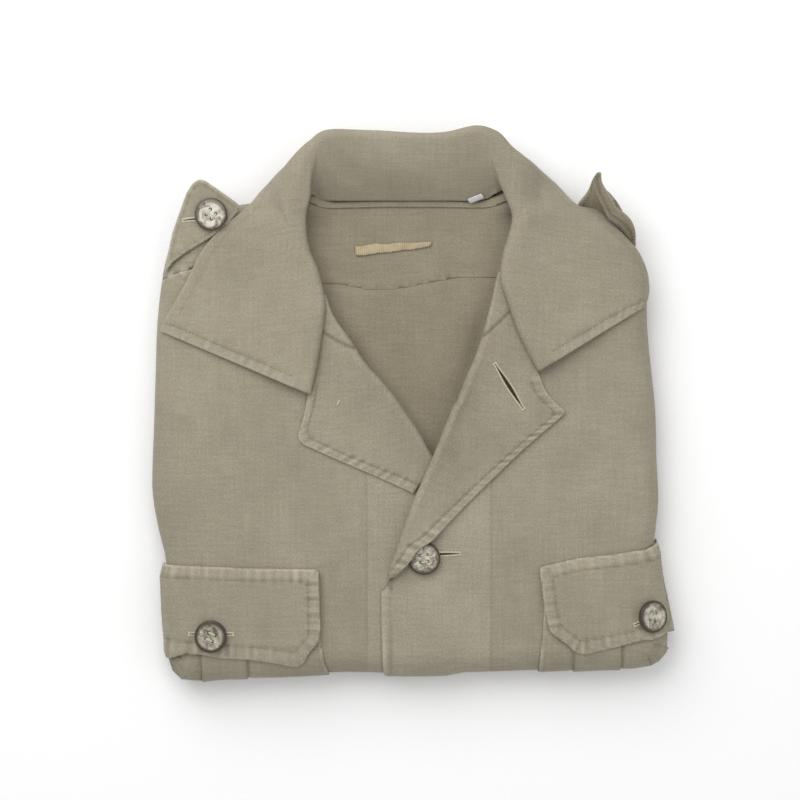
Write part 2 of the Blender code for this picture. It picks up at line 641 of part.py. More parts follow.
def button(name, place, direction):
    """A four-hole button with a raised rim, its back at place, facing direction."""
    profile = ((0.0, BUTTON_THICK - 0.9), (6.6, BUTTON_THICK - 0.7), (7.6, BUTTON_THICK), (9.4, BUTTON_THICK - 0.2),
               (BUTTON_RADIUS, BUTTON_THICK - 1.4), (8.6, 0.3), (6.0, 0.0), (0.0, 0.0))
    mesh = bmesh.new()
    verts = [mesh.verts.new((radius, 0, height)) for radius, height in profile]
    for low, high in zip(verts, verts[1:]):
        mesh.edges.new((low, high))
    bmesh.ops.spin(mesh, geom=mesh.verts[:] + mesh.edges[:], cent=(0, 0, 0), axis=(0, 0, 1), angle=2 * pi,
                   steps=18, use_duplicate=False)
    bmesh.ops.remove_doubles(mesh, verts=mesh.verts[:], dist=0.01)
    face_outwards(mesh)
    turn = Vector(direction).normalized().to_track_quat("Z", "Y")
    made = add_object(name, mesh, HORN)
    made.location = mm(Vector(place) + Vector(ORIGIN_SHIFT))
    made.rotation_mode = "QUATERNION"
    made.rotation_quaternion = turn
    holes = bmesh.new()
    for across in (-1, 1):
        for along in (-1, 1):
            made_hole = bmesh.ops.create_cone(holes, cap_ends=True, segments=6, radius1=BUTTON_HOLE,
                                              radius2=BUTTON_HOLE, depth=BUTTON_THICK * 3)
            bmesh.ops.translate(holes, vec=(across * BUTTON_HOLE_PITCH, along * BUTTON_HOLE_PITCH, 0),
                                verts=made_hole["verts"])
    bmesh.ops.scale(holes, vec=(0.001, 0.001, 0.001), verts=holes.verts[:])
    data = bpy.data.meshes.new(name + "_holes")
    holes.to_mesh(data)
    holes.free()
    cutter = bpy.data.objects.new(name + "_holes", data)
    CUTTERS.objects.link(cutter)
    cutter.location = made.location
    cutter.rotation_mode = "QUATERNION"
    cutter.rotation_quaternion = turn
    cutter.hide_render = True
    cutter.display_type = "WIRE"
    cut = made.modifiers.new("holes", "BOOLEAN")
    cut.object = cutter
    cut.operation = "DIFFERENCE"


def build_buttons():
    front_height = left_front_lift(8.5, -96) + CLOTH + GAP
    button("button_front", (8.5, -96, top(8.5, -96) + front_height), (0, 0, 1))
    flap_height = flap_lift(0, -100) + FLAP_CLOTH + GAP
    button("button_pocket_right", skin(-123.9, -144.4, flap_height + 1.1), (-0.08, -0.05, 1))
    button("button_pocket_left", skin(148, -132.6, flap_height + 1.6), (0.45, 0, 1))
    button("button_epaulette_right", (-124, 118, EPAULETTE_Z + EPAULETTE_CLOTH + GAP), (0, 0, 1))
    button("button_epaulette_left", (126.8, 125.4, 23), (0.75, 0.64, -0.25))


build_hidden_layers()
build_fronts()
build_back_yoke()
build_inside()
build_neck_trims()
build_pockets()
build_lapels()
build_collar()
build_epaulettes()
build_buttons()
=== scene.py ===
from math import cos, pi, radians, sin

import bmesh
import bpy
import numpy as np
from mathutils import Matrix, Vector


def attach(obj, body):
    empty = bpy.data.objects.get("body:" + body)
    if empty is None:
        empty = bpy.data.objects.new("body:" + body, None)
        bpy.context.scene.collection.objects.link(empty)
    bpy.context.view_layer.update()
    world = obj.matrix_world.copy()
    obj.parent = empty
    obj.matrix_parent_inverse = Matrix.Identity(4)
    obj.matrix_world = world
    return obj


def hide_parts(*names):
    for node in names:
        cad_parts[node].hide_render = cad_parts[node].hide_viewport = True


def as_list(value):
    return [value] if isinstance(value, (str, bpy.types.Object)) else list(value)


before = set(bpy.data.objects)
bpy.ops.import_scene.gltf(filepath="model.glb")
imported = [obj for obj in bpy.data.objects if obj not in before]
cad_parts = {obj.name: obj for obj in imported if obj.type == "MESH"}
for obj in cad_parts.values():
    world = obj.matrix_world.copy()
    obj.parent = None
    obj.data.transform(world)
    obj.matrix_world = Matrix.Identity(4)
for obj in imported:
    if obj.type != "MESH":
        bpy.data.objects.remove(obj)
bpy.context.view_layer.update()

# A folded safari jacket, seen from its fronts. Right and left are the wearer's own. Places are in
# millimetres as on the cutting table, and toMetres puts them where the solids are.
frameShift = np.array((-1.95, 1.35, 0.0))


def toMetres(points):
    return (np.asarray(points, float) + frameShift) * 0.001


def deselectAll():
    if bpy.context.object and bpy.context.object.mode != "OBJECT":
        bpy.ops.object.mode_set(mode="OBJECT")
    bpy.ops.object.select_all(action="DESELECT")


deselectAll()


# finishes
def linear(hexValue):
    parts = [int(hexValue[i:i + 2], 16) / 255 for i in (0, 2, 4)]
    return tuple(c / 12.92 if c <= 0.04045 else ((c + 0.055) / 1.055) ** 2.4 for c in parts) + (1.0,)


def addNode(tree, kind, settings=None, links=None):
    node = tree.nodes.new("ShaderNode" + kind)
    for key, value in (settings or {}).items():
        if key == "stops":        # a colour ramp's places and hex colours
            bands = node.color_ramp.elements
            bands[0].position, bands[0].color = value[0][0], linear(value[0][1])
            bands[1].position, bands[1].color = value[-1][0], linear(value[-1][1])
            for place, colour in value[1:-1]:
                bands.new(place).color = linear(colour)
        elif key in node.inputs:
            node.inputs[key].default_value = value
        else:
            setattr(node, key, value)
    for key, source in (links or {}).items():
        tree.links.new(source, node.inputs[key])
    return node


def mixPatterns(tree, patterns):
    # adds up patterns of 0 to 1, each spread between a low and a high value first
    total = None
    for value, low, high in patterns:
        part = addNode(tree, "MapRange", {"To Min": low, "To Max": high}, {"Value": value}).outputs[0]
        if total is None:
            total = part
        else:
            total = addNode(tree, "Math", {"operation": "ADD"}, {0: total, 1: part}).outputs[0]
    return total


def bandScale(millimetres):
    # Blender's wave texture has a band every 0.314 units at a scale of 1
    return 314.16 / millimetres


def newFinish(name, roughness, specular=0.25, sheen=0.0):
    made = bpy.data.materials.new(name)
    made.use_nodes = True
    shader = made.node_tree.nodes["Principled BSDF"]
    shader.inputs["Roughness"].default_value = roughness
    shader.inputs["Specular IOR Level"].default_value = specular
    shader.inputs["Sheen Weight"].default_value = sheen
    shader.inputs["Sheen Roughness"].default_value = 0.5
    return made, made.node_tree, shader


twillLook = {
    "dark": "615A4D", "cloth": "918A78", "rubbed": "B9B2A1",
    # the real wale is 0.5 mm and the yarn 0.3 mm; a picture of the whole jacket can't hold them
    "waleMm": 1.5, "waleAngle": 34, "yarnMm": 1.2, "washMm": 30, "broadMm": 110, "bumpMm": 0.2,
    "streakMm": (1.9, 30), "slubMm": (15, 1.9),        # thick yarns along the warp and along the weft
}


def wovenTwill(name, look):
    # garment-washed cotton twill: matt and soft, a fine diagonal rib, thick yarns both ways, a
    # paler bloom wherever the wash rubbed a seam against the drum, and painted shade in grooves and troughs
    made, tree, shader = newFinish(name, 0.9, 0.2, 0.1)
    uv = addNode(tree, "UVMap", {"uv_map": "cloth"}).outputs[0]
    wornAndShaded = addNode(tree, "Attribute", {"attribute_name": "wear"}).outputs["Fac"]
    turned = addNode(tree, "Mapping", {"Rotation": (0, 0, radians(look["waleAngle"]))}, {"Vector": uv})
    wale = addNode(tree, "TexWave", {"Scale": bandScale(look["waleMm"]), "Distortion": 2.0, "Detail": 2.0,
                                     "Detail Scale": 1.5}, {"Vector": turned.outputs[0]}).outputs["Fac"]
    yarn = addNode(tree, "TexNoise", {"Scale": 1000 / look["yarnMm"], "Detail": 3.0},
                   {"Vector": uv}).outputs["Fac"]
    thick = []
    for across, along in (look["streakMm"], look["slubMm"]):
        drawn = addNode(tree, "Mapping", {"Scale": (1000 / across, 1000 / along, 1)}, {"Vector": uv})
        thick.append(addNode(tree, "TexNoise", {"Scale": 1.0, "Detail": 3.0},
                             {"Vector": drawn.outputs[0]}).outputs["Fac"])
    streak, slub = thick
    wash = addNode(tree, "TexNoise", {"Scale": 1000 / look["washMm"], "Detail": 5.0, "Roughness": 0.6},
                   {"Vector": uv}).outputs["Fac"]
    broad = addNode(tree, "TexNoise", {"Scale": 1000 / look["broadMm"], "Detail": 2.0},
                    {"Vector": uv}).outputs["Fac"]
    bite = mixPatterns(tree, ((yarn, 0.15, 0.45),))
    # paler where the attribute is above zero, from rubbing; painted shade where it is below zero
    rubbed = addNode(tree, "Math", {"operation": "MULTIPLY"}, {0: wornAndShaded, 1: bite}).outputs[0]
    tone = mixPatterns(tree, ((wale, 0.482, 0.518), (yarn, -0.2, 0.2), (streak, -0.07, 0.07),
                              (slub, -0.1, 0.1), (wash, -0.12, 0.12), (broad, -0.1, 0.1)))
    tone = addNode(tree, "Math", {"operation": "ADD"}, {0: tone, 1: rubbed}).outputs[0]
    stops = ((0.05, look["dark"]), (0.5, look["cloth"]), (0.95, look["rubbed"]))
    colour = addNode(tree, "ValToRGB", {"stops": stops}, {"Fac": tone}).outputs["Color"]
    tree.links.new(colour, shader.inputs["Base Color"])
    height = mixPatterns(tree, ((wale, 0, 0.3), (yarn, 0, 1.0), (streak, 0, 0.5)))
    bump = addNode(tree, "Bump", {"Strength": 0.6, "Distance": look["bumpMm"] * 0.001}, {"Height": height})
    tree.links.new(bump.outputs[0], shader.inputs["Normal"])
    return made


twill = wovenTwill("washed cotton twill", twillLook)
# the cloth's inner side: the rib runs the other way, and its darker colours are painted shade
shadedInnerSide = {**twillLook, "dark": "585144", "cloth": "877F6C", "rubbed": "A8A08E", "waleAngle": -34}
shadedInsideTwill = wovenTwill("cotton twill, inner side, with painted shade", shadedInnerSide)


def spunThread(name, dark, light):
    # sewing thread, dyed with the garment: a two-ply twist with a slight lustre
    made, tree, shader = newFinish(name, 0.6, 0.35, 0.15)
    place = addNode(tree, "TexCoord").outputs["Object"]
    twist = addNode(tree, "TexNoise", {"Scale": 2200.0, "Detail": 2.0}, {"Vector": place}).outputs["Fac"]
    colour = addNode(tree, "ValToRGB", {"stops": ((0.3, dark), (0.7, light))}, {"Fac": twist})
    tree.links.new(colour.outputs["Color"], shader.inputs["Base Color"])
    bump = addNode(tree, "Bump", {"Strength": 0.5, "Distance": 0.00008}, {"Height": twist})
    tree.links.new(bump.outputs[0], shader.inputs["Normal"])
    return made


seamThread = spunThread("sewing thread, garment-dyed", "857D6B", "A29A87")
holeThread = spunThread("buttonhole twist", "A8A08A", "CDC5AF")


def wovenTape(name, dark, light, ribMm, roughness, sheen):
    # narrow woven tape: a flat rib across its length and a little fraying noise
    made, tree, shader = newFinish(name, roughness, 0.3, sheen)
    uv = addNode(tree, "UVMap", {"uv_map": "cloth"}).outputs[0]
    rib = addNode(tree, "TexWave", {"Scale": bandScale(ribMm), "Distortion": 1.0, "Detail": 2.0},
                  {"Vector": uv}).outputs["Fac"]
    stain = addNode(tree, "TexNoise", {"Scale": 180.0, "Detail": 5.0}, {"Vector": uv}).outputs["Fac"]
    tone = mixPatterns(tree, ((rib, 0.2, 0.45), (stain, 0, 0.6)))
    colour = addNode(tree, "ValToRGB", {"stops": ((0.3, dark), (0.8, light))}, {"Fac": tone})
    tree.links.new(colour.outputs["Color"], shader.inputs["Base Color"])
    bump = addNode(tree, "Bump", {"Strength": 0.5, "Distance": 0.00015}, {"Height": rib})
    tree.links.new(bump.outputs[0], shader.inputs["Normal"])
    return made


creamTape = wovenTape("woven cotton label tape", "897C62", "B4A687", 1.2, 0.85, 0.1)
whiteTape = wovenTape("white satin tape", "B0B0AE", "D6D6D6", 1.2, 0.45, 0.3)


def hornFinish():
    # turned and polished horn: cloudy grey and cream layers, dark at the rim, with a soft gloss
    made, tree, shader = newFinish("polished horn", 0.32, 0.5)
    place = addNode(tree, "TexCoord").outputs["Object"]
    rim = addNode(tree, "Attribute", {"attribute_name": "rim"}).outputs["Fac"]
    cloud = addNode(tree, "TexNoise", {"Scale": 210.0, "Detail": 4.0, "Roughness": 0.6, "Distortion": 0.8},
                    {"Vector": place}).outputs["Fac"]
    fleck = addNode(tree, "TexNoise", {"Scale": 900.0, "Detail": 3.0}, {"Vector": place}).outputs["Fac"]
    bite = mixPatterns(tree, ((cloud, 0.45, -1.5),))
    bite = addNode(tree, "Math", {"operation": "MULTIPLY"}, {0: rim, 1: bite}).outputs[0]
    tone = mixPatterns(tree, ((cloud, -0.35, 1.55), (fleck, -0.15, 0.15)))
    tone = addNode(tree, "Math", {"operation": "ADD"}, {0: tone, 1: bite}).outputs[0]
    stops = ((0.08, "3A3329"), (0.3, "6E6758"), (0.5, "A09B8C"), (0.75, "CBC8BB"))
    colour = addNode(tree, "ValToRGB", {"stops": stops}, {"Fac": tone}).outputs["Color"]
    tree.links.new(colour, shader.inputs["Base Color"])
    tree.links.new(mixPatterns(tree, ((fleck, 0.25, 0.42),)), shader.inputs["Roughness"])
    return made


horn = hornFinish()


def shadowFinish():
    # a dark patch in a buttonhole's slit, painted shadow over the cloth below, with stray fibres
    made, tree, shader = newFinish("painted shadow inside a buttonhole", 0.95, 0.1)
    place = addNode(tree, "TexCoord").outputs["Object"]
    fibre = addNode(tree, "TexNoise", {"Scale": 1600.0, "Detail": 3.0}, {"Vector": place}).outputs["Fac"]
    stops = ((0.35, "1E1B15"), (0.75, "4A4336"))
    colour = addNode(tree, "ValToRGB", {"stops": stops}, {"Fac": fibre}).outputs["Color"]
    tree.links.new(colour, shader.inputs["Base Color"])
    return made


slitShadow = shadowFinish()
print("finishes done")


# the folded slab that every layer lies on
slab = {
    "edgeTop": 26.0, "edgeMiddle": 13.0, "edgeRound": 14.0, "edgePace": 13.5, "crown": 3.0, "crownY": -15,
    "crownHalfWidth": 175.0, "crownHalfLength": 185.0, "wrap": 27.0, "dipDepth": 8.0, "dipShoulder": 18.0,
    "cloth": 1.2, "gap": 0.4, "pleatRise": 1.3, "overlap": 2.0,
    # the hem's corners stand out square: their place, the way out and how far
    "corners": ((-132.8, -155.6, -0.66, -0.75, 4.0), (145, -147, 0.88, -0.47, 2.2)), "cornerSpread": 90,
    "flatEdge": (
        (-126, 107), (-133, 100), (-138, 89), (-141, 74), (-143.5, 50), (-144.5, 20), (-145.5, -10),
        (-146.5, -38), (-146.5, -56), (-143, -76), (-139, -92), (-137.5, -108), (-136.5, -130),
        (-135, -146), (-132.8, -155.6), (-118, -155.4), (-80, -154.8), (-40, -153), (0, -154),
        (40, -153), (80, -151.6), (120, -149.6), (137, -149.4), (145, -147), (143.6, -132), (139.5, -112),
        (137.5, -95), (138.5, -80), (140.5, -60), (139.5, -36), (138.5, -5), (135.5, 25), (133.5, 50),
        (133, 72), (130, 87), (124, 97), (114, 105), (99, 110), (80, 114.5), (60, 118.5), (40, 121.5),
        (0, 123), (-40, 121.5), (-62, 118), (-84, 113), (-108, 109.5)),
}
rightRoll = ((-62, 130), (-65, 117), (-64, 105), (-60, 90), (-54, 70), (-46.4, 52), (-36.6, 39.4), (-32, 31),
             (-24, 21), (-16, 12.5), (-6.4, 0), (2.6, -12.5), (9, -23), (13, -32))
leftRoll = ((58, 130), (63, 117), (61, 105), (57, 92), (53.4, 78), (51.9, 70.4), (45.4, 45), (41.5, 33),
            (36, 19.4), (29.6, 3.4), (24.8, -6), (20.4, -17), (13.4, -33.6), (3.9, -56), (-4.4, -78),
            (-7, -85.6), (-13, -104), (-17, -112))
shoulderSeamRight = ((-167.6, 76), (-154, 79), (-137, 84), (-100, 92), (-66, 99))
shoulderSeamLeft = ((64, 99), (96, 92), (128, 84), (150, 78), (160.5, 75.6))


def smoothstep(value):
    value = np.clip(value, 0.0, 1.0)
    return value * value * (3 - 2 * value)


def curveThrough(points, closed=False, steps=3):
    # a Catmull-Rom curve through rows of any width
    points = np.asarray(points, float)
    count = len(points)
    made = []
    for index in range(count if closed else count - 1):
        if closed:
            p0, p1, p2, p3 = [points[(index + shift) % count] for shift in (-1, 0, 1, 2)]
        else:
            p0, p1, p2, p3 = [points[min(max(index + shift, 0), count - 1)] for shift in (-1, 0, 1, 2)]
        for step in range(steps):
            t = step / steps
            made.append(0.5 * (2 * p1 + (p2 - p0) * t + (2 * p0 - 5 * p1 + 4 * p2 - p3) * t * t
                               + (3 * p1 - p0 - 3 * p2 + p3) * t * t * t))
    if not closed:
        made.append(points[-1])
    return np.array(made)


def runLengths(path):
    return np.concatenate([[0], np.cumsum(np.linalg.norm(np.diff(path, axis=0), axis=1))])


def evenPath(path, step):
    # the same path with points about a step apart
    path = np.asarray(path, float)
    runs = runLengths(path)
    at = np.linspace(0, runs[-1], max(int(runs[-1] / step), 2) + 1)
    return np.column_stack([np.interp(at, runs, path[:, axis]) for axis in range(path.shape[1])])


def nearestOnPath(places, path, closed=False):
    # distance to a path, the run along it to the nearest spot, and that spot's piece and share
    places = np.asarray(places, float)[:, :2]
    starts = np.asarray(path, float)
    ends = np.roll(starts, -1, axis=0) if closed else starts[1:]
    starts = starts if closed else starts[:-1]
    sides = ends - starts
    squares = np.maximum((sides ** 2).sum(1), 1e-9)
    runs = np.concatenate([[0], np.cumsum(np.sqrt(squares))])
    found = []
    for first in range(0, len(places), 3000):
        block = places[first:first + 3000, None]
        share = np.clip(((block - starts) * sides).sum(2) / squares, 0, 1)
        distances = np.linalg.norm(block - starts - sides * share[..., None], axis=2)
        pick = distances.argmin(1)
        rows = np.arange(len(pick))
        at = share[rows, pick]
        run = runs[pick] + at * np.sqrt(squares[pick])
        found.append(np.column_stack([distances[rows, pick], run, pick, at]))
    found = np.concatenate(found)
    return found[:, 0], found[:, 1], found[:, 2].astype(int), found[:, 3]


edgeCurve = curveThrough(slab["flatEdge"], closed=True)
edgeAlong = np.roll(edgeCurve, -1, axis=0) - np.roll(edgeCurve, 1, axis=0)
edgeNormals = np.stack([edgeAlong[:, 1], -edgeAlong[:, 0]], 1)
edgeNormals /= np.linalg.norm(edgeNormals, axis=1)[:, None]


def nearestEdge(places):
    # foot on the flat's edge, the outward normal there, and how far outside it a place lies
    places = np.atleast_2d(places)[:, :2]
    distance, _, pick, share = nearestOnPath(places, edgeCurve, closed=True)
    following = (pick + 1) % len(edgeCurve)
    foot = edgeCurve[pick] * (1 - share[:, None]) + edgeCurve[following] * share[:, None]
    normal = edgeNormals[pick] * (1 - share[:, None]) + edgeNormals[following] * share[:, None]
    normal /= np.linalg.norm(normal, axis=1)[:, None]
    return foot, normal, np.where(((places - foot) * normal).sum(1) < 0, -distance, distance)


def topHeight(places):
    # the slab's flat rises a little towards its middle
    across = np.cos(pi / 2 * np.minimum(abs(places[:, 0]) / slab["crownHalfWidth"], 1))
    along = np.cos(pi / 2 * np.minimum(abs(places[:, 1] - slab["crownY"]) / slab["crownHalfLength"], 1))
    return slab["edgeTop"] + slab["crown"] * across * along


def skinPoints(places, height):
    # points at a height over the slab's skin; past the flat's edge they follow the rolled side
    places = np.atleast_2d(places)[:, :2]
    height = np.broadcast_to(height, len(places))
    foot, normal, out = nearestEdge(places)
    flat = np.column_stack([places, topHeight(places) + height])
    turn = np.maximum(out, 0) / slab["edgePace"]
    reach = slab["edgeRound"] + height
    for x, y, outX, outY, extra in slab["corners"]:
        near = np.exp(-((foot[:, 0] - x) ** 2 + (foot[:, 1] - y) ** 2) / slab["cornerSpread"])
        reach = reach + extra * near * np.clip(normal @ (outX, outY), 0, 1) ** 6
    reach = reach * np.sin(turn)
    rise = topHeight(foot) - slab["edgeMiddle"] + height
    rolled = np.column_stack([foot + normal * reach[:, None], slab["edgeMiddle"] + rise * np.cos(turn)])
    return np.where((out <= 0)[:, None], flat, rolled)


def drapeHeight(places, height):
    # how high a layer lies, seen from above
    places = np.atleast_2d(places)[:, :2]
    foot, _, out = nearestEdge(places)
    share = np.clip(out / (slab["edgeRound"] + height), 0, 0.97)
    rise = topHeight(foot) - slab["edgeMiddle"] + height
    rolled = slab["edgeMiddle"] + rise * np.sqrt(1 - share ** 2)
    return np.where(out <= 0, topHeight(places) + height, rolled)


def overEdge(places):
    # 0 on the flat and 1 where the cloth rolls down
    return smoothstep((nearestEdge(places)[2] + 6) / 8)


neckLine = np.array(rightRoll + leftRoll[12::-1], float)


def outsideNeck(places):
    # the distance from the neck's opening, 0 inside it
    places = np.atleast_2d(places)[:, :2]
    following = np.roll(neckLine, -1, axis=0)
    x, y = places[:, 0][:, None], places[:, 1][:, None]
    spans = (neckLine[:, 1] > y) != (following[:, 1] > y)
    rise = np.where(following[:, 1] == neckLine[:, 1], 1e-9, following[:, 1] - neckLine[:, 1])
    crossing = (following[:, 0] - neckLine[:, 0]) * (y - neckLine[:, 1]) / rise + neckLine[:, 0]
    inside = (spans & (x < crossing)).sum(1) % 2 == 1
    return np.where(inside, 0.0, nearestOnPath(places, neckLine, closed=True)[0])


def neckDip(places):
    return slab["dipDepth"] * (1 - smoothstep(outsideNeck(places) / slab["dipShoulder"]))


# heights of each layer over the skin
def frontLift(places):
    return np.full(len(places), slab["gap"])


def leftFrontLift(places):
    return slab["gap"] + slab["overlap"] * (1 - smoothstep((places[:, 0] - 20) / 16))


def rightGround(places):
    return np.full(len(places), 2 * slab["gap"] + slab["cloth"])


def leftGround(places):
    return leftFrontLift(places) + slab["cloth"] + 2 * slab["gap"]


insideLook = {"corners": ((-65, 128), (60, 128)), "cornerSpread": 105, "cornerRise": 8.5}


def insideLift(places):
    # the inside of the back lies lower; it comes up to the collar seam at its two corners
    corners = sum(np.exp(-((places[:, 0] - x) ** 2 + (places[:, 1] - y) ** 2) / insideLook["cornerSpread"])
                  for x, y in insideLook["corners"])
    return slab["gap"] - neckDip(places) + insideLook["cornerRise"] * corners


def onInsideLift(places):
    return insideLift(places) + slab["cloth"] + slab["gap"]


def flapLift(places):
    # sewn down along its top edge, then free over the pocket, and snug over the rolled side
    sewnRight = -101.5 - 0.02 * (places[:, 0] + 100)
    sewnLeft = -96.5 + 0.19 * (places[:, 0] - 105)
    sewn = np.where(places[:, 0] < 0, sewnRight, sewnLeft)
    free = smoothstep((sewn - places[:, 1]) / 9)
    over = 4 * slab["gap"] + 2 * slab["cloth"] + slab["pleatRise"] - 0.9 * overEdge(places)
    under = 2.2
    return under + (over - under) * free


# cutting and sewing
def cutCloth(outline, cell, extraX=()):
    # a flat cut with two narrow rims for its rounded edge, parted into a net of cells
    cut = bmesh.new()
    cut.faces.new([cut.verts.new((x, y, 0)) for x, y in outline])
    for depth in (0.3, 0.6):
        inner = max(cut.faces, key=lambda face: face.calc_area())
        bmesh.ops.inset_region(cut, faces=[inner], thickness=depth, use_even_offset=True)
    outline = np.asarray(outline)
    for axis in (0, 1):
        low, high = outline[:, axis].min(), outline[:, axis].max()
        lines = list(np.arange(low + cell * 0.6, high, cell)) + (list(extraX) if axis == 0 else [])
        for place in lines:
            point = Vector((0, 0, 0))
            point[axis] = place
            bmesh.ops.bisect_plane(cut, geom=cut.verts[:] + cut.edges[:] + cut.faces[:], dist=0.02,
                                   plane_co=point, plane_no=(1 - axis, axis, 0))
    bmesh.ops.remove_doubles(cut, verts=cut.verts[:], dist=0.05)
    bmesh.ops.triangulate(cut, faces=[face for face in cut.faces if len(face.verts) > 4])
    for face in cut.faces:
        if face.normal.z < 0:
            face.normal_flip()
    cut.verts.index_update()
    places = np.array([vert.co[:2] for vert in cut.verts])
    faces = [[vert.index for vert in face.verts] for face in cut.faces]
    rim = np.array([vert.is_boundary for vert in cut.verts])
    cut.free()
    return places, faces, rim


def newObject(name, mesh):
    made = bpy.data.objects.new(name, mesh)
    bpy.context.scene.collection.objects.link(made)
    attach(made, "root")
    return made


def turnOutward(mesh):
    tidy = bmesh.new()
    tidy.from_mesh(mesh)
    bmesh.ops.recalc_face_normals(tidy, faces=tidy.faces[:])
    tidy.to_mesh(mesh)
    tidy.free()


def clothMap(mesh, uv, wear):
    corners = np.zeros(len(mesh.loops), int)
    mesh.loops.foreach_get("vertex_index", corners)
    layer = mesh.uv_layers.new(name="cloth")
    layer.data.foreach_set("uv", (np.asarray(uv)[corners] * 0.001).astype(np.float32).ravel())
    # per point: above zero the cloth is rubbed paler, below zero it is darkened with painted shade
    wornAndShaded = mesh.attributes.new("wear", "FLOAT", "POINT")
    wornAndShaded.data.foreach_set("value", np.asarray(wear).astype(np.float32))


def closeShell(name, upper, lower, faces, rim, uv, wear, finish):
    # a wall of cloth whose two sides meet at the rim
    count = len(upper)
    under = np.arange(count)
    under[~rim] = count + np.arange((~rim).sum())
    fronts = [list(face) for face in faces if not rim[face].all()]
    backs = [[int(under[index]) for index in reversed(face)] for face in fronts]
    mesh = bpy.data.meshes.new(name)
    mesh.from_pydata(toMetres(np.concatenate([upper, lower[~rim]])).tolist(), [], fronts + backs)
    source = np.concatenate([np.arange(count), np.flatnonzero(~rim)])
    clothMap(mesh, np.asarray(uv)[source], np.asarray(wear)[source])
    mesh.materials.append(finish)
    mesh.shade_smooth()
    return newObject(name, mesh)


def pucker(along, seed):
    # the uneven ripple that washing leaves along a seam, from -1 to 1
    return (0.55 * np.sin(2 * pi * along / 5.3 + 2.2 * np.sin(along / 13 + seed) + seed)
            + 0.45 * np.sin(2 * pi * along / 8.9 + 2.9 * np.sin(along / 21 + 2 * seed)))


# how wide, how high and how rubbed each part of a stitched edge is; the groove and the pucker
# troughs are darkened with painted shade
seamLook = {
    "grooveWidth": 0.9, "grooveDepth": 0.36, "grooveShade": 0.5, "marginRise": 0.25, "marginWear": 0.15,
    "puckerReach": 1.8, "puckerRise": 0.36, "puckerRubAndShade": 0.6, "edgeWidth": 1.1, "edgeWear": 0.9,
    "reach": 10,
}


def seamRelief(distance, along, stitchAt, seed, strength=1.0, ruffle=0.5):
    # beside a stitched edge: the puffed margin, the sunk stitch line, the puckers and their wear,
    # with painted shade in the stitch line and in the pucker troughs
    look = seamLook
    groove = np.exp(-((distance - stitchAt) / look["grooveWidth"]) ** 2)
    puff = np.sin(pi * np.clip(distance / max(stitchAt, 0.1), 0, 1))
    margin = np.where(distance < stitchAt, puff, 0)
    near = np.exp(-(np.maximum(distance - stitchAt, 0) / look["puckerReach"]) ** 2)
    near = near * smoothstep(distance / 1.2)
    ripple = ruffle * pucker(along, seed) * (0.65 + 0.35 * np.sin(along / 19 + seed))
    edge = np.exp(-(distance / look["edgeWidth"]) ** 2) if stitchAt > 0 else 0
    rise = strength * (look["marginRise"] * margin - look["grooveDepth"] * groove)
    rise = rise + look["puckerRise"] * ripple * near
    # the groove is darkened with painted shade; pucker crests are rubbed paler and their troughs get painted
    # shade
    wear = strength * (look["marginWear"] * margin - look["grooveShade"] * groove)
    wear = wear + look["puckerRubAndShade"] * ripple * near + look["edgeWear"] * edge
    return rise, wear


def softWaves(places, seed, size):
    # the slow rise and fall of cloth that was pressed by hand, from -1 to 1
    x, y = places[:, 0], places[:, 1]
    total = 0
    for number in range(6):
        angle = seed * 1.3 + number * 1.05
        pace = 2 * pi / (size * (0.7 + 0.22 * number))
        total = total + np.sin(pace * (x * cos(angle) + y * sin(angle)) + seed * 2.1 + number * 1.7)
    return total / 6


def creaseRelief(places, creases):
    # troughs (below 0) and ridges, as listed: a path, its half width and its height
    rise = np.zeros(len(places))
    for path, width, height in creases:
        path = curveThrough(path, steps=5)
        distance, along, _, _ = nearestOnPath(places, path)
        length = runLengths(path)[-1]
        ends = smoothstep(along / (length * 0.35)) * smoothstep((length - along) / (length * 0.35))
        rise += height * np.exp(-(distance / width) ** 2) * (0.2 + 0.8 * ends)
    return rise


rimRound = 0.9        # how far in from its cut edge a wall is rounded
creaseRubAndShade = 0.12        # paler from rubbing on a ridge, painted shade in a trough, for each millimetre
stitchLook = {"pitch": 2.3, "length": 1.6, "width": 0.5, "sides": 6}


def newSolid(name, points, faces, finish, smooth=True):
    mesh = bpy.data.meshes.new(name)
    mesh.from_pydata(toMetres(points).tolist(), [], faces)
    mesh.materials.append(finish)
    turnOutward(mesh)
    if smooth:
        mesh.shade_smooth()
    made = newObject(name, mesh)
    return made


def threadBars(name, starts, ends, ups, width, finish):
    # short rounded bars of thread, one for each stitch
    sides = stitchLook["sides"]
    starts, ends, ups = [np.asarray(item, float) for item in (starts, ends, ups)]
    along = ends - starts
    along /= np.linalg.norm(along, axis=1)[:, None]
    ups = ups / np.linalg.norm(ups, axis=1)[:, None]
    across = np.cross(along, ups)
    verts = []
    # each ring's share of the length, its size and its lift
    for share, size, lift in ((0, 0.3, -0.15), (0.2, 1, 0.08), (0.8, 1, 0.08), (1, 0.3, -0.15)):
        centre = starts + (ends - starts) * share + ups * lift
        for index in range(sides):
            turn = 2 * pi * index / sides
            high, wide = sin(turn) * size * width * 0.4, cos(turn) * size * width / 2
            verts.append(centre + ups * high + across * wide)
    verts = np.array(verts).transpose(1, 0, 2)
    faces = []
    for number in range(len(starts)):
        base = number * 4 * sides
        for ring in range(3):
            for index in range(sides):
                a = base + ring * sides + index
                b = base + ring * sides + (index + 1) % sides
                faces.append((a, a + sides, b + sides, b))
        faces.append([base + index for index in range(sides)])
        faces.append([base + 3 * sides + index for index in reversed(range(sides))])
    return newSolid(name, verts.reshape(-1, 3), faces, finish)


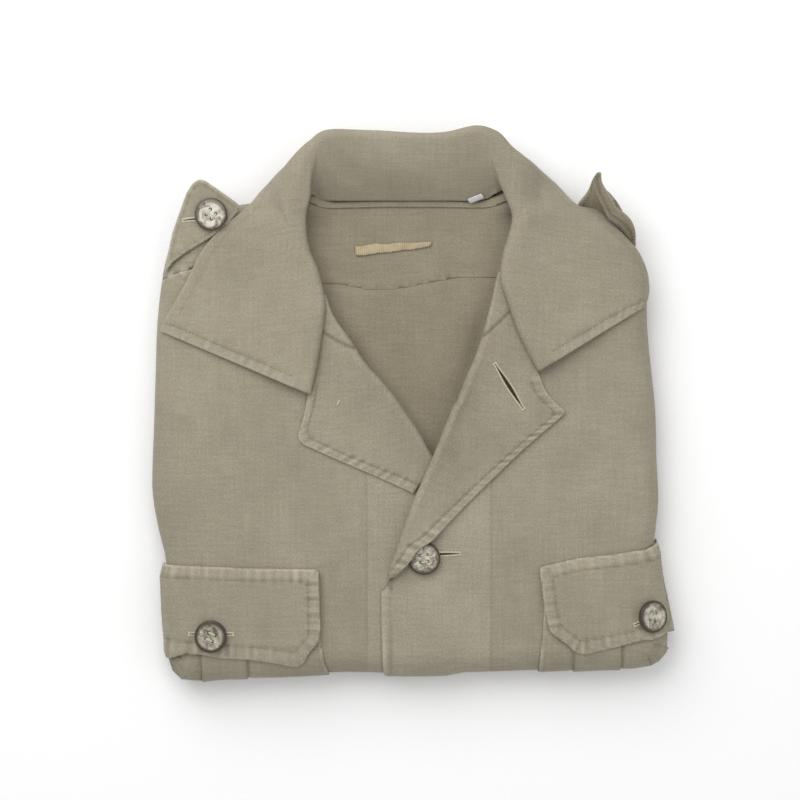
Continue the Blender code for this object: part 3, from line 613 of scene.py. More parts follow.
def sewStitches(name, line, ups):
    # lockstitches along a line in space
    runs = runLengths(line)
    starts = np.arange(0.6, runs[-1] - stitchLook["length"], stitchLook["pitch"])
    if len(starts) < 2:
        return []

    def at(values, where):
        return np.column_stack([np.interp(where, runs, values[:, axis]) for axis in range(3)])

    return [threadBars(name, at(line, starts), at(line, starts + stitchLook["length"]), at(ups, starts),
                       stitchLook["width"], seamThread)]


holeLook = {"pitch": 0.62, "inner": 0.15, "outer": 1.5, "thread": 0.72, "slit": 0.28}


def sewButtonhole(name, start, end, surface, gape=0.0):
    # a worked buttonhole: bars of buttonhole twist round a slit, and a dark patch of painted shadow inside
    # it
    start, end = np.array(start, float), np.array(end, float)
    length = np.linalg.norm(end - start)
    along = (end - start) / length
    side = np.array((-along[1], along[0]))
    starts, ends = [], []
    count = int(length / holeLook["pitch"])
    for way in (-1, 1):
        for index in range(count + 1):
            share = index / count
            middle = start + along * length * share
            opening = gape * 0.5 * sin(pi * min(max((share - 0.08) / 0.84, 0), 1))
            starts.append(middle + side * way * (holeLook["inner"] + opening))
            ends.append(middle + side * way * (holeLook["outer"] + opening))
    for where, way in ((start, -1.0), (end, 1.0)):
        for shift in np.arange(-1.2, 1.21, 0.6):
            starts.append(where + side * shift)
            ends.append(where + side * shift + along * way)
    starts, ends = np.array(starts), np.array(ends)
    ups = surface(starts, 1.0) - surface(starts, 0.0)
    made = threadBars(name, surface(starts, 0.3), surface(ends, 0.12), ups, holeLook["thread"], holeThread)
    slit = []
    for share in np.linspace(0.03, 0.97, 15):
        half = holeLook["slit"] + gape * 0.5 * sin(pi * share)
        middle = start + along * length * share
        slit += [middle - side * half, middle + side * half]
    rungs = len(slit) // 2
    loop = [2 * i for i in range(rungs)] + [2 * i + 1 for i in reversed(range(rungs))]
    upper = [[2 * i, 2 * i + 1, 2 * i + 3, 2 * i + 2] for i in range(rungs - 1)]
    lower = [[index + len(slit) for index in reversed(face)] for face in upper]
    walls = [[a, a + len(slit), b + len(slit), b] for a, b in zip(loop, loop[1:] + loop[:1])]
    points = np.concatenate([surface(np.array(slit), 0.12), surface(np.array(slit), -0.3)])
    return [made, newSolid(name + "_slit_shadow", points, upper + lower + walls, slitShadow, False)]


def offsetPath(path, distance):
    # a path moved to its left
    path = np.asarray(path, float)
    along = np.gradient(path, axis=0)
    normal = np.stack([-along[:, 1], along[:, 0]], 1)
    return path + normal / np.maximum(np.linalg.norm(normal, axis=1), 1e-9)[:, None] * distance


def outlineArea(outline):
    x, y = np.asarray(outline).T
    return (np.dot(x, np.roll(y, -1)) - np.dot(y, np.roll(x, -1))) / 2


def roundedOutline(points, corner=1.2):
    # an anticlockwise outline with eased corners and points every 2 mm
    points = [np.array(point, float) for point in points]
    made = []
    for index, here in enumerate(points):
        before, after = points[index - 1], points[(index + 1) % len(points)]
        into, onward = here - before, after - here
        cutIn = min(corner, 0.4 * np.linalg.norm(into))
        cutOn = min(corner, 0.4 * np.linalg.norm(onward))
        start = here - into / np.linalg.norm(into) * cutIn
        end = here + onward / np.linalg.norm(onward) * cutOn
        for t in (0, 0.33, 0.67, 1):
            made.append((1 - t) ** 2 * start + 2 * t * (1 - t) * here + t * t * end)
    made = evenPath(np.array(made + [made[0]]), 2.0)[:-1]
    return made if outlineArea(made) > 0 else made[::-1]


def restingWaves(spec, places):
    return spec["waves"] * softWaves(places, spec["seed"], 55)


def layPiece(spec):
    # cuts a piece, works its seams and creases into it, and lays it over the slab
    outline, wall = spec["outline"], spec["wall"]
    place = spec.get("place", skinPoints)
    creases = spec.get("creases", ())
    places, faces, rim = cutCloth(outline, spec["cell"], spec.get("extraX", ()))
    rimDistance = nearestOnPath(places, outline, closed=True)[0]
    body = np.sqrt(1 - (1 - np.clip(rimDistance / rimRound, 0, 1)) ** 2)
    rise = np.zeros(len(places))
    wear = np.zeros(len(places))
    for number, seam in enumerate(spec.get("seams", ())):
        distance, along, _, _ = nearestOnPath(places, seam["path"])
        up, rubAndShade = seamRelief(distance, along, seam["stitchAt"], number * 1.7 + spec["seed"],
                             seam.get("strength", 1), seam.get("ruffle", 0.5))
        reach = smoothstep((seam["stitchAt"] + seamLook["reach"] - distance) / 5)
        rise += up * reach
        wear += rubAndShade * reach
    folds = creaseRelief(places, creases)
    folds += restingWaves(spec, places) * smoothstep(rimDistance / 12)
    # ridges rubbed paler, troughs darkened with painted shade
    wear += np.clip(folds, -1.5, 1.5) * creaseRubAndShade
    if "tone" in spec:
        wear += spec["tone"](places)
    lift = spec["lift"](places)
    upper = place(places, lift + wall / 2 + wall / 2 * body + (np.maximum(rise, -0.4 * wall) + folds) * body)
    lower = place(places, lift + wall / 2 - wall / 2 * body + np.maximum(folds, 0) * body)
    made = closeShell(spec["name"], upper, lower, faces, rim, places, wear, spec["finish"])
    spec["extras"] = []
    for number, seam in enumerate(spec.get("seams", ())):
        if seam.get("thread"):
            inward = seam["stitchAt"]
            line = offsetPath(evenPath(seam["path"], 2.0), inward)
            line = line[nearestOnPath(line, seam["path"])[0] > inward * 0.93]
            level = spec["lift"](line) + wall + creaseRelief(line, creases) - 0.16 * seam.get("strength", 1)
            level += restingWaves(spec, line) * smoothstep(inward / 12)
            points = place(line, level)
            ups = place(line, level + 1) - points
            spec["extras"] += sewStitches("%s_stitching_%d" % (spec["name"], number), points, ups)
    size = np.ptp(outline, axis=0) * 0.001
    spec["sheet"] = {"flat": tuple(size), "area": min(outlineArea(outline) * 1e-6, size[0] * size[1])}
    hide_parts(spec["node"])
    return made


def surfaceOf(spec):
    # a laid piece's outer face, as a function of places and a height over it
    def surface(places, height):
        places = np.atleast_2d(places)
        over = spec["lift"](places) + spec["wall"] + restingWaves(spec, places) + height
        return spec.get("place", skinPoints)(places, over)
    return surface


def declare(made, spec):
    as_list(spec["extras"])


# what most pieces share
twillPiece = {"slot": "khaki_twill", "finish": twill, "wall": slab["cloth"]}
innerPiece = {"slot": "inside_twill", "finish": shadedInsideTwill, "wall": slab["cloth"]}


def edgeRing(distance):
    return edgeCurve + edgeNormals * distance


def sideRun(distance, startY, endY, side):
    ring = edgeRing(distance)
    run = ring[(ring[:, 0] * side > 100) & (ring[:, 1] < startY) & (ring[:, 1] > endY)]
    return [tuple(point) for point in run[np.argsort(-run[:, 1])]]


# the layers folded underneath
layersLook = {
    "cell": 5.0, "coreEase": 4.8, "edgeEase": 2.4, "topReach": 20, "pitch": 3.0,
    "swing": 0.36, "ripple": 0.2, "rise": 0.45,        # how unevenly each fold lies
    # the sleeves' and the back's folds, from the fronts' edge down to the surface: out and height
    "noses": ((12.4, 11.4), (12.8, 10.2), (12.0, 9.0), (9.2, 8.3), (9.0, 7.9), (11.7, 7.4), (12.3, 6.1),
              (11.5, 4.8), (8.4, 4.2), (8.2, 3.8), (10.9, 3.3), (11.3, 1.9), (10.3, 0.5), (9.0, 0.0)),
}


def makeFoldedLayers():
    look = layersLook
    ring = edgeRing(look["topReach"])
    outline = evenPath(np.vstack([ring, ring[:1]]), look["pitch"])[:-1]
    places, faces, _ = cutCloth(outline, look["cell"])
    dip = neckDip(places)
    points = skinPoints(places, -look["edgeEase"] * overEdge(places))
    points[:, 2] -= dip + look["coreEase"] * smoothstep(dip / 3)
    pairs = {(a, b) for face in faces for a, b in zip(face, face[1:] + face[:1])}
    onward = {a: b for a, b in pairs if (b, a) not in pairs}
    loop = [next(iter(onward))]
    while onward[loop[-1]] != loop[0]:
        loop.append(onward[loop[-1]])
    foot, normal, _ = nearestEdge(places[loop])
    run = nearestOnPath(places[loop], edgeCurve, closed=True)[1]
    verts, rings, uv = [points], [loop], [places]
    for number, (out, height) in enumerate(look["noses"]):
        fold = number // 4
        free = 1 if 0 < height < 11 else 0
        swing = look["swing"] * np.sin(run / 31 + fold * 2.1) + look["ripple"] * np.sin(run / 11 + fold)
        lift = look["rise"] * np.sin(run / 47 + fold * 1.3)
        ring = np.column_stack([foot + normal * (out + swing * free)[:, None], height + lift * free])
        ring[:, 2] = np.maximum(ring[:, 2], 0)
        rings.append([sum(len(item) for item in verts) + index for index in range(len(loop))])
        verts.append(ring)
        uv.append(np.column_stack([run, np.full(len(loop), number * 2.2)]))
    faces = [list(face) for face in faces]
    for high, low in zip(rings, rings[1:]):
        for index in range(len(loop)):
            following = (index + 1) % len(loop)
            faces.append([high[index], low[index], low[following], high[following]])
    faces.append(rings[-1][::-1])
    mesh = bpy.data.meshes.new("folded_layers")
    verts, uv = np.concatenate(verts), np.concatenate(uv)
    mesh.from_pydata(toMetres(verts).tolist(), [], faces)
    clothMap(mesh, uv, np.zeros(len(verts)))
    turnOutward(mesh)
    mesh.materials.append(twill)
    mesh.shade_smooth()
    made = newObject("folded_layers", mesh)
    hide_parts("hidden_layers")
    return made


makeFoldedLayers()
print("folded layers done")


# fronts, yoke and the inside
def pressedLine(x, top, strength):
    # a seam or fold pressed flat, straight down from its top, its groove darkened with painted shade
    return {"path": np.array(((x, top), (x, -190))), "stitchAt": 0.0, "strength": strength, "ruffle": 0.2}


def facingTone(seamX, way):
    # where the facing lies behind it the front sits higher and has rubbed paler
    def tone(places):
        return 0.2 * smoothstep((places[:, 0] - seamX) * way / 0.8) * smoothstep((-20 - places[:, 1]) / 30)
    return tone


def makeFronts():
    wrap = slab["wrap"]
    foot = edgeRing(wrap)
    foot = foot[foot[:, 1] < -165]
    foot = [tuple(point) for point in foot[np.argsort(foot[:, 0])]]
    neckRight = [(x - 2.5, y - 1) for x, y in rightRoll if y < 100]
    outline = sideRun(wrap, 75, -156, -1) + [point for point in foot if point[0] < 14]
    outline += [(16, foot[0][1]), (16, -42)] + neckRight[::-1]
    outline += [(x, y + 0.35) for x, y in shoulderSeamRight[3::-1]]
    right = {
        **twillPiece, "name": "front_right_cloth", "node": "front_right",
        "outline": roundedOutline(outline), "cell": 2.4, "lift": frontLift, "seed": 1.0, "waves": 0.3,
        "extraX": (-28.2, -27.6, -27, -26.4, -25.8), "tone": facingTone(-27, 1),
        "seams": (pressedLine(-27, -20, 0.42),
                  {"path": np.array(shoulderSeamRight[:4], float), "stitchAt": 1.6, "strength": 0.5}),
        "creases": ((((-70, -30), (-64, -62), (-60, -98)), 9, -0.5),
                    (((-150, 20), (-128, -20), (-120, -70)), 12, 0.5)),
    }
    declare(layPiece(right), right)

    neckLeft = [(x + 2.5, y - 1) for x, y in leftRoll if y < 100]
    outline = neckLeft + [(-18.4, -117.5), (-18.4, -135.6), (-17.7, -151), (-16.1, foot[0][1])]
    outline += [point for point in foot if point[0] > -14] + sideRun(wrap, 75, -156, 1)[::-1]
    outline += [(x, y + 0.35) for x, y in shoulderSeamLeft[4:0:-1]]
    frontEdge = np.array(((-17, -112), (-18.4, -117.5), (-18.4, -135.6), (-17.7, -151), (-16.1, -178)))
    left = {
        **twillPiece, "name": "front_left_cloth", "node": "front_left",
        "outline": roundedOutline(outline), "cell": 2.4, "lift": leftFrontLift, "seed": 2.0, "waves": 0.3,
        "extraX": (49.2, 49.8, 50.4, 51, 51.6), "tone": facingTone(50.4, -1),
        "seams": ({"path": frontEdge, "stitchAt": 5.3, "strength": 0.9, "thread": True},
                  pressedLine(50.4, -45, 0.42)),
        "creases": ((((70, -50), (66, -90), (68, -150)), 9, -0.5),
                    (((140, 10), (118, -20), (112, -80)), 12, 0.4)),
    }
    made = layPiece(left)
    left["extras"] += sewButtonhole("buttonhole_front", (9.5, -93.6), (30.9, -93.2), surfaceOf(left), 0.7)
    declare(made, left)


def makeYoke():
    ring = edgeRing(slab["wrap"])
    overTop = sorted(tuple(point) for point in ring[ring[:, 1] > 77.5])
    outline = overTop + [(x, y - 0.35) for x, y in shoulderSeamLeft[4:0:-1]]
    outline += [(x + 5, y) for x, y in leftRoll if y > 100][::-1] + [(58, 133), (0, 134.5), (-62, 133)]
    outline += [(x - 5, y) for x, y in rightRoll if y > 100]
    outline += [(x, y - 0.35) for x, y in shoulderSeamRight[4::-1]]
    yoke = {
        **twillPiece, "name": "back_yoke_cloth", "node": "back_yoke",
        "outline": roundedOutline(outline), "cell": 3.0, "lift": frontLift, "seed": 3.0, "waves": 0.2,
        "seams": ({"path": np.array(shoulderSeamRight[:4], float), "stitchAt": 1.6, "strength": 0.6},),
    }
    declare(layPiece(yoke), yoke)


yokeSeam = ((-62, 75.4), (-50, 74.8), (-42.2, 74.4), (-26.4, 71.2), (-18.3, 71.2), (-2.4, 72.7),
            (17.6, 76.8), (33.5, 79.1), (53.4, 78.8), (64, 79))


def underYokeLift(places):
    # the back's raw edge passes under the yoke
    x, y = np.array(yokeSeam).T
    above = places[:, 1] - np.interp(places[:, 0], x, y)
    return insideLift(places) - 0.55 * smoothstep((above + 3) / 2.4)


def makeInside():
    seamLine = curveThrough(yokeSeam, steps=4)
    sides = [(66, 92), (68, 105), (68, 117), (63, 129.5), (0, 131), (-67, 129.5), (-70, 117), (-69, 105),
             (-66, 92)]
    yoke = {
        **innerPiece, "name": "inner_yoke_cloth", "node": "inner_yoke",
        "outline": roundedOutline([(x, y + 0.1) for x, y in seamLine] + sides), "cell": 1.9,
        "lift": insideLift, "seed": 4.0, "waves": 0.35,
        "seams": ({"path": seamLine, "stitchAt": 1.2, "strength": 0.5, "ruffle": 0.9},),
        "creases": ((((-52, 84), (-30, 80), (-8, 84)), 3.5, -0.5), (((20, 88), (36, 84), (52, 86)), 4, -0.4),
                    (((-50, 110), (-20, 106), (16, 109), (48, 104)), 7, -0.5)),
    }
    yokeCloth = layPiece(yoke)
    lower = [(-61, 66), (-52, 44), (-38, 22), (-22, 4), (-8, -11), (5, -28), (14, -36), (19, -32), (30, -6),
             (41, 18), (52, 45), (62, 68)]
    back = {
        **innerPiece, "name": "inner_back_cloth", "node": "inner_back",
        "outline": roundedOutline([(x, y + 4.5) for x, y in seamLine[::-1]] + lower), "cell": 2.0,
        "lift": underYokeLift, "seed": 5.0, "waves": 0.4,
        "creases": ((((50, 66), (42, 40), (33, 8)), 5, -1.3), (((-38, 62), (-20, 30), (6, -8)), 6, 0.6),
                    (((-4, 66), (4, 30), (14, -6)), 8, -0.5), (((-50, 60), (-38, 36), (-20, 10)), 4, -0.8)),
    }
    declare(layPiece(back), back)
    yoke["extras"] += makeNeckTrims()        # too narrow to be sheets of their own
    declare(yokeCloth, yoke)


def tabPlace(places, height):
    # the tab leans out of the collar seam
    places = np.atleast_2d(places)
    return np.column_stack([places, 25.6 + 0.8 * (places[:, 1] - 128.5) + height])


def noLift(places):
    return np.zeros(len(places))


def bindingLift(places):
    # its upper edge is caught in the collar seam
    return onInsideLift(places) + 0.8 * smoothstep((places[:, 1] - 124) / 4)


def makeNeckTrims():
    foot = [(-60, 124.3), (-52, 123.6), (0, 123.4), (48, 123.6), (56, 124.3)]
    band = {
        **innerPiece, "name": "neck_binding_tape", "node": "neck_binding", "wall": 0.8, "cell": 1.3,
        "lift": bindingLift, "seed": 6.0, "waves": 0.1,
        "outline": roundedOutline([(-66, 131), (-66, 126)] + foot + [(62, 126), (62, 131), (0, 131.6)], 0.5),
        "seams": ({"path": np.array(foot), "stitchAt": 1.0, "strength": 0.4, "ruffle": 0.2,
                   "thread": True},),
    }
    wavy = [(-34.8, 98.8), (-34.2, 92.6), (-28, 93.0), (-20, 94.3), (-12, 94.9), (-4, 96.2), (4, 96.9),
            (12.9, 98.6), (13.7, 101.7), (8, 101.5), (0, 100.9), (-8, 101.2), (-14, 100.2), (-22, 100.6),
            (-29, 99.2)]
    label = {
        "name": "neck_label_tape", "node": "neck_label", "slot": "label_tape", "finish": creamTape,
        "wall": 0.8, "outline": roundedOutline(wavy, 0.4), "cell": 0.9, "lift": onInsideLift,
        "seed": 7.0, "waves": 0.35,
        "creases": ((((-32.6, 92), (-32.9, 99.5)), 0.6, 0.5), (((11.6, 98), (12, 102)), 0.6, 0.5),
                    (((-16, 95), (-15, 100)), 1.5, 0.35), (((-1, 96), (0, 101)), 1.8, -0.3)),
    }
    tab = {
        "name": "size_tab_tape", "node": "size_tab", "slot": "white_tape", "finish": whiteTape, "wall": 0.8,
        "outline": roundedOutline([(35.5, 128), (37, 125), (46.2, 128.4), (44.8, 131.6)], 0.4), "cell": 0.7,
        "lift": noLift, "place": tabPlace, "seed": 8.0, "waves": 0.2,
    }
    trims = [layPiece(spec) for spec in (band, label, tab)]
    return trims + band["extras"]


makeFronts()
makeYoke()
makeInside()
print("fronts, yoke and inside done")


# pockets and their flaps
pocketLook = {"flapWall": 1.6, "pleatRamp": 0.7, "stitchAt": 7.3}
pocketSides = {
    "right": {
        "pleats": (-131.0, -101.5), "flapSeed": 10.0, "hole": ((-136.4, -143.1), (-110.6, -143.1)),
        "pocket": ((-160, -106), (-59, -106), (-57, -140), (-53.6, -160.6), (-50.6, -170), (-50.6, -178),
                   (-90, -179), (-126, -179), (-152, -168)),
        "flap": ((-162, -99.5), (-135, -101), (-100, -102.3), (-57, -103), (-56.4, -120), (-55.9, -141),
                 (-57.5, -148.6), (-67.5, -160.2), (-71.5, -161.5), (-87, -159.4), (-102, -158),
                 (-119, -157.6), (-134, -155.6), (-147, -154.6), (-162, -153.6)),
    },
    "left": {
        "pleats": (102.0, 132.0), "flapSeed": 11.5, "hole": ((139.6, -137.4), (156, -131)),
        "pocket": ((160, -98), (87, -104), (83.2, -130), (82.3, -145), (81, -157), (80.2, -176),
                   (128, -173.5), (160, -166)),
        "flap": ((80.2, -101.5), (104.7, -96), (128.6, -93.4), (146, -90.5), (163, -85), (169, -141.5),
                 (152.6, -145), (133.4, -150), (108.3, -154.4), (102.3, -153.5), (86.7, -141.8),
                 (83.5, -127.8)),
    },
}


def pleated(pleats):
    def lift(places):
        inward = np.minimum(places[:, 0] - pleats[0], pleats[1] - places[:, 0])
        rise = slab["pleatRise"] * smoothstep(inward / pocketLook["pleatRamp"])
        return 2 * slab["gap"] + slab["cloth"] + rise * (1 - 0.3 * overEdge(places))
    return lift


def makePockets():
    ramp = pocketLook["pleatRamp"]
    for side, look in pocketSides.items():
        low, high = look["pleats"]
        outline = roundedOutline(look["pocket"])
        pocket = {
            **twillPiece, "name": "pocket_%s_cloth" % side, "node": "pocket_" + side,
            "outline": outline, "cell": 2.2, "lift": pleated(look["pleats"]), "seed": 9.0, "waves": 0.15,
            "extraX": (low, low + ramp / 2, low + ramp, high - ramp, high - ramp / 2, high),
            "seams": ({"path": outline, "stitchAt": 1.5, "strength": 0.5}, pressedLine(low, -95, 1.3),
                      pressedLine(high, -95, 1.3)),
        }
        declare(layPiece(pocket), pocket)
        outline = roundedOutline(look["flap"], 1.6)
        flap = {
            **twillPiece, "name": "flap_%s_cloth" % side, "node": "flap_" + side,
            "wall": pocketLook["flapWall"], "outline": outline, "cell": 1.5, "lift": flapLift,
            "seed": look["flapSeed"], "waves": 0.35,
            "seams": ({"path": np.vstack([outline, outline[:1]]), "stitchAt": pocketLook["stitchAt"],
                       "strength": 0.9, "ruffle": 1.0, "thread": True},),
        }
        made = layPiece(flap)
        flap["extras"] += sewButtonhole("buttonhole_flap_" + side, *look["hole"], surfaceOf(flap))
        declare(made, flap)


makePockets()
print("pockets done")


# lapels and collar: cloth turned over a roll
rightLapel = (  # roll x and y, edge x and y, height of the roll and of the edge over the front
    (16.2, -35.5, 2.0, -56.0, 2.4, 0), (10.6, -27, -11.4, -49.6, 4.0, 0), (5.8, -18, -30, -41.5, 5, 0),
    (-1.7, -7, -47, -34.2, 5.5, 0), (-7.2, 1, -60, -28.3, 5.5, 0), (-13.3, 9, -67.6, -24.6, 5.5, 0),
    (-17.6, 14.2, -69.8, -19.6, 5.5, 0), (-21.2, 18.2, -68.2, -14, 5.5, 0), (-25.6, 22.8, -65.6, -4, 5.5, 0),
    (-30.6, 29.2, -63.4, 10, 5.5, 0), (-37, 39.4, -61.2, 27, 5.0, 0), (-46, 52, -57.8, 47, 3, 0),
    (-49.6, 59, -56.8, 59, 2, 0), (-52.6, 68, -56.8, 69, 1.4, 0))
leftLapel = (
    (-15.6, -109, -9.5, -107, 2.2, 1.5), (-11, -97, -1.5, -99.4, 3.6, 5.4),
    (-7, -85.6, 5.1, -90.3, 4.4, 5.4),
    (-4.2, -77, 13.4, -85, 4.8, 4.0), (0, -66, 24.8, -73, 5, 1.0), (3.9, -56, 36.9, -60.8, 5.5, 0),
    (9, -44, 52, -46, 6, 0), (13.4, -33.6, 70, -28.8, 6, 0), (18, -23, 82, -18.3, 6, 0),
    (21.5, -14, 93.6, -8.3, 6, 0), (23.5, -9, 96.2, -4.6, 6, 0), (26, -3, 90, 1.3, 6, 0),
    (29.6, 3.4, 84.2, 8.5, 6, 0), (34, 15, 80.6, 18, 6, 0), (40.5, 30, 75.6, 31, 6, 0),
    (45.4, 45, 69.6, 46, 5, 0), (50, 62, 63, 63, 2.4, 0), (52.6, 74, 60, 75, 1.6, 0),
    (54.6, 82, 61, 83, 1.2, 0))
collarRows = (  # as above; the last value is how far the cloth stands up and hangs behind, 0 to 1
    (-62, 5.6, -156.5, 45.6, 37.5, 0), (-58.5, 21, -152.5, 53.8, 38.5, 0), (-55.4, 38, -147, 63, 38.5, 0),
    (-53.2, 55, -141.4, 73, 38, 0), (-53.2, 65, -136.4, 83, 38, 0), (-57, 82.5, -130.2, 95, 38, 0),
    (-62, 94, -119, 108.5, 38.5, 0), (-64.6, 105, -103, 122.5, 39, 0.05),
    (-65.2, 117.5, -95.7, 135.6, 40, 0.3), (-62.8, 129.5, -87.2, 146.6, 41, 0.62),
    (-61.4, 144, -72.6, 155.6, 42, 0.86), (-57.5, 157, -62, 163.8, 43, 0.96),
    (-50, 163, -51, 170, 43.5, 1), (-25, 163, -25, 169.6, 43, 1), (0, 162, 0, 168.4, 42.5, 1),
    (22, 162.5, 22, 168.8, 43, 1), (40, 165, 41, 172.6, 43.5, 1), (48.5, 160, 54, 169, 43, 0.96),
    (52.3, 150, 63.6, 160.3, 42, 0.86), (55.4, 139, 80.4, 153.2, 41, 0.62),
    (59.4, 128, 93.6, 139.6, 40, 0.3), (63.2, 117, 105, 124.6, 39, 0.05),
    (61.5, 106, 118.6, 120.5, 38.5, 0), (58.5, 97, 130, 109, 38, 0), (56, 86, 141.7, 96.5, 38, 0),
    (56, 76, 148, 84, 38, 0), (60.4, 63, 149.6, 73, 38.5, 0), (68.3, 41, 148.6, 66, 38.5, 0),
    (79.2, 19.7, 146.6, 61, 37.5, 0))
collarLook = {
    "wall": 1.8, "seamY": 127.3, "seamZ": 22.7, "endZ": 5.0, "tuck": 9.0, "stand": 9.0, "leafEase": 0.7,
    "standEase": 0.8, "stitchAt": 6.7,
}


def flatAt(place, height):
    return float(drapeHeight(np.array([place]), np.array([height]))[0])


def lapelSection(row, ground, wall):
    # a strip under the roll, the roll, and the cloth laid back to its cut edge
    rollX, rollY, edgeX, edgeY, crest, lifted = row
    roll, edge = np.array((rollX, rollY), float), np.array((edgeX, edgeY), float)
    width = np.linalg.norm(edge - roll)
    out = (edge - roll) / width
    floor = float(topHeight(roll[None])[0] + ground(roll[None])[0]) + wall / 2
    radius = crest / 2
    strip = min(7.0, width * 0.45)
    points = [(*(roll + out * strip * share), floor) for share in (1.0, 0.6)]
    centre = roll + out * (radius + wall / 2)
    for step in range(9):
        angle = pi * step / 8
        points.append((*(centre - out * radius * sin(angle)), floor + radius - radius * cos(angle)))
    start = radius + wall / 2
    for share in (0.06, 0.12, 0.2, 0.28, 0.38, 0.48, 0.6, 0.72, 0.86, 1.0):
        reach = start + (width - start) * share
        place = roll + out * reach
        laid = flatAt(place, float(ground(place[None])[0]) + wall / 2)
        sprung = 15        # how far from the roll the cloth still stands up
        rise = crest * np.exp(-(reach - start) / sprung) * (1 - share ** 3) + lifted * share
        points.append((*place, laid + rise))
    return points


def collarSection(row):
    # stand, roll and fall; hang blends a leaf lying flat with the back of the collar
    look = collarLook
    rollX, rollY, edgeX, edgeY, crest, hang = row
    roll, edge = np.array((rollX, rollY), float), np.array((edgeX, edgeY), float)
    width = np.linalg.norm(edge - roll)
    out = (edge - roll) / width
    half = look["wall"] / 2
    onFront = 2 * slab["gap"] + slab["cloth"]
    ground = float(topHeight(roll[None])[0]) + onFront
    floor = ground + slab["gap"] + half
    radius = (crest - half - floor) / 2
    lying = [(*(roll + out * look["stand"] * share), floor) for share in (1.0, 0.55)]
    centre = roll + out * (radius + half)
    for step in range(5):
        angle = pi * step / 4
        lying.append((*(centre - out * radius * sin(angle)), floor + radius - radius * cos(angle)))
    start = radius + half
    for share in (0.1, 0.22, 0.38, 0.55, 0.7, 0.82, 0.92, 1.0):
        reach = start + (width - start) * share
        place = roll + out * reach
        laid = flatAt(place, onFront + look["leafEase"] + half)
        rise = (crest - half - ground) * np.exp(-(reach - start) / 30)
        lying.append((*place, laid + rise * (1 - share ** 4)))
    seam = np.array((min(max(rollX, -60), 56), look["seamY"], look["seamZ"]))
    ridge = np.array((rollX, rollY, crest - half))
    standing = [seam + (ridge - seam) * share + (0, 0, 3 * sin(pi * share))
                for share in (0, 0.2, 0.4, 0.6, 0.8)]
    shoulder = np.array((*(edge - out * half), crest - half))
    standing += [ridge, ridge + (shoulder - ridge) * 0.55 + (0, 0, 0.3)]
    for share in (0.05, 0.15, 0.28, 0.42, 0.56, 0.7, 0.85, 1.0):
        tucked = edge - out * (look["tuck"] * share ** 2 + half)
        height = crest - half - 1.2 + (look["endZ"] - crest + half + 1.2) * share
        standing.append(np.array((*tucked, height)))
    section = np.array(lying) * (1 - hang) + np.array(standing) * hang
    clear = onFront + look["leafEase"] + half
    under = 7        # points on the stand and under the roll
    for index, point in enumerate(section):
        if index < under:
            if outsideNeck(point[None])[0] > 0.2:
                point[2] = max(point[2], flatAt(point[:2], clear + look["standEase"] - look["leafEase"]))
        elif nearestEdge(point[None])[2][0] < slab["edgeRound"] + clear:
            point[2] = max(point[2], flatAt(point[:2], clear))
    return section


unsewn = 1000.0        # stands for the distance from an edge that has no seam
# a sunk seam line: its depth and width, and how dark and wide its painted shade is
ditchLook = {"depth": 0.55, "width": 1.2, "wear": 1.1, "line": 0.9}


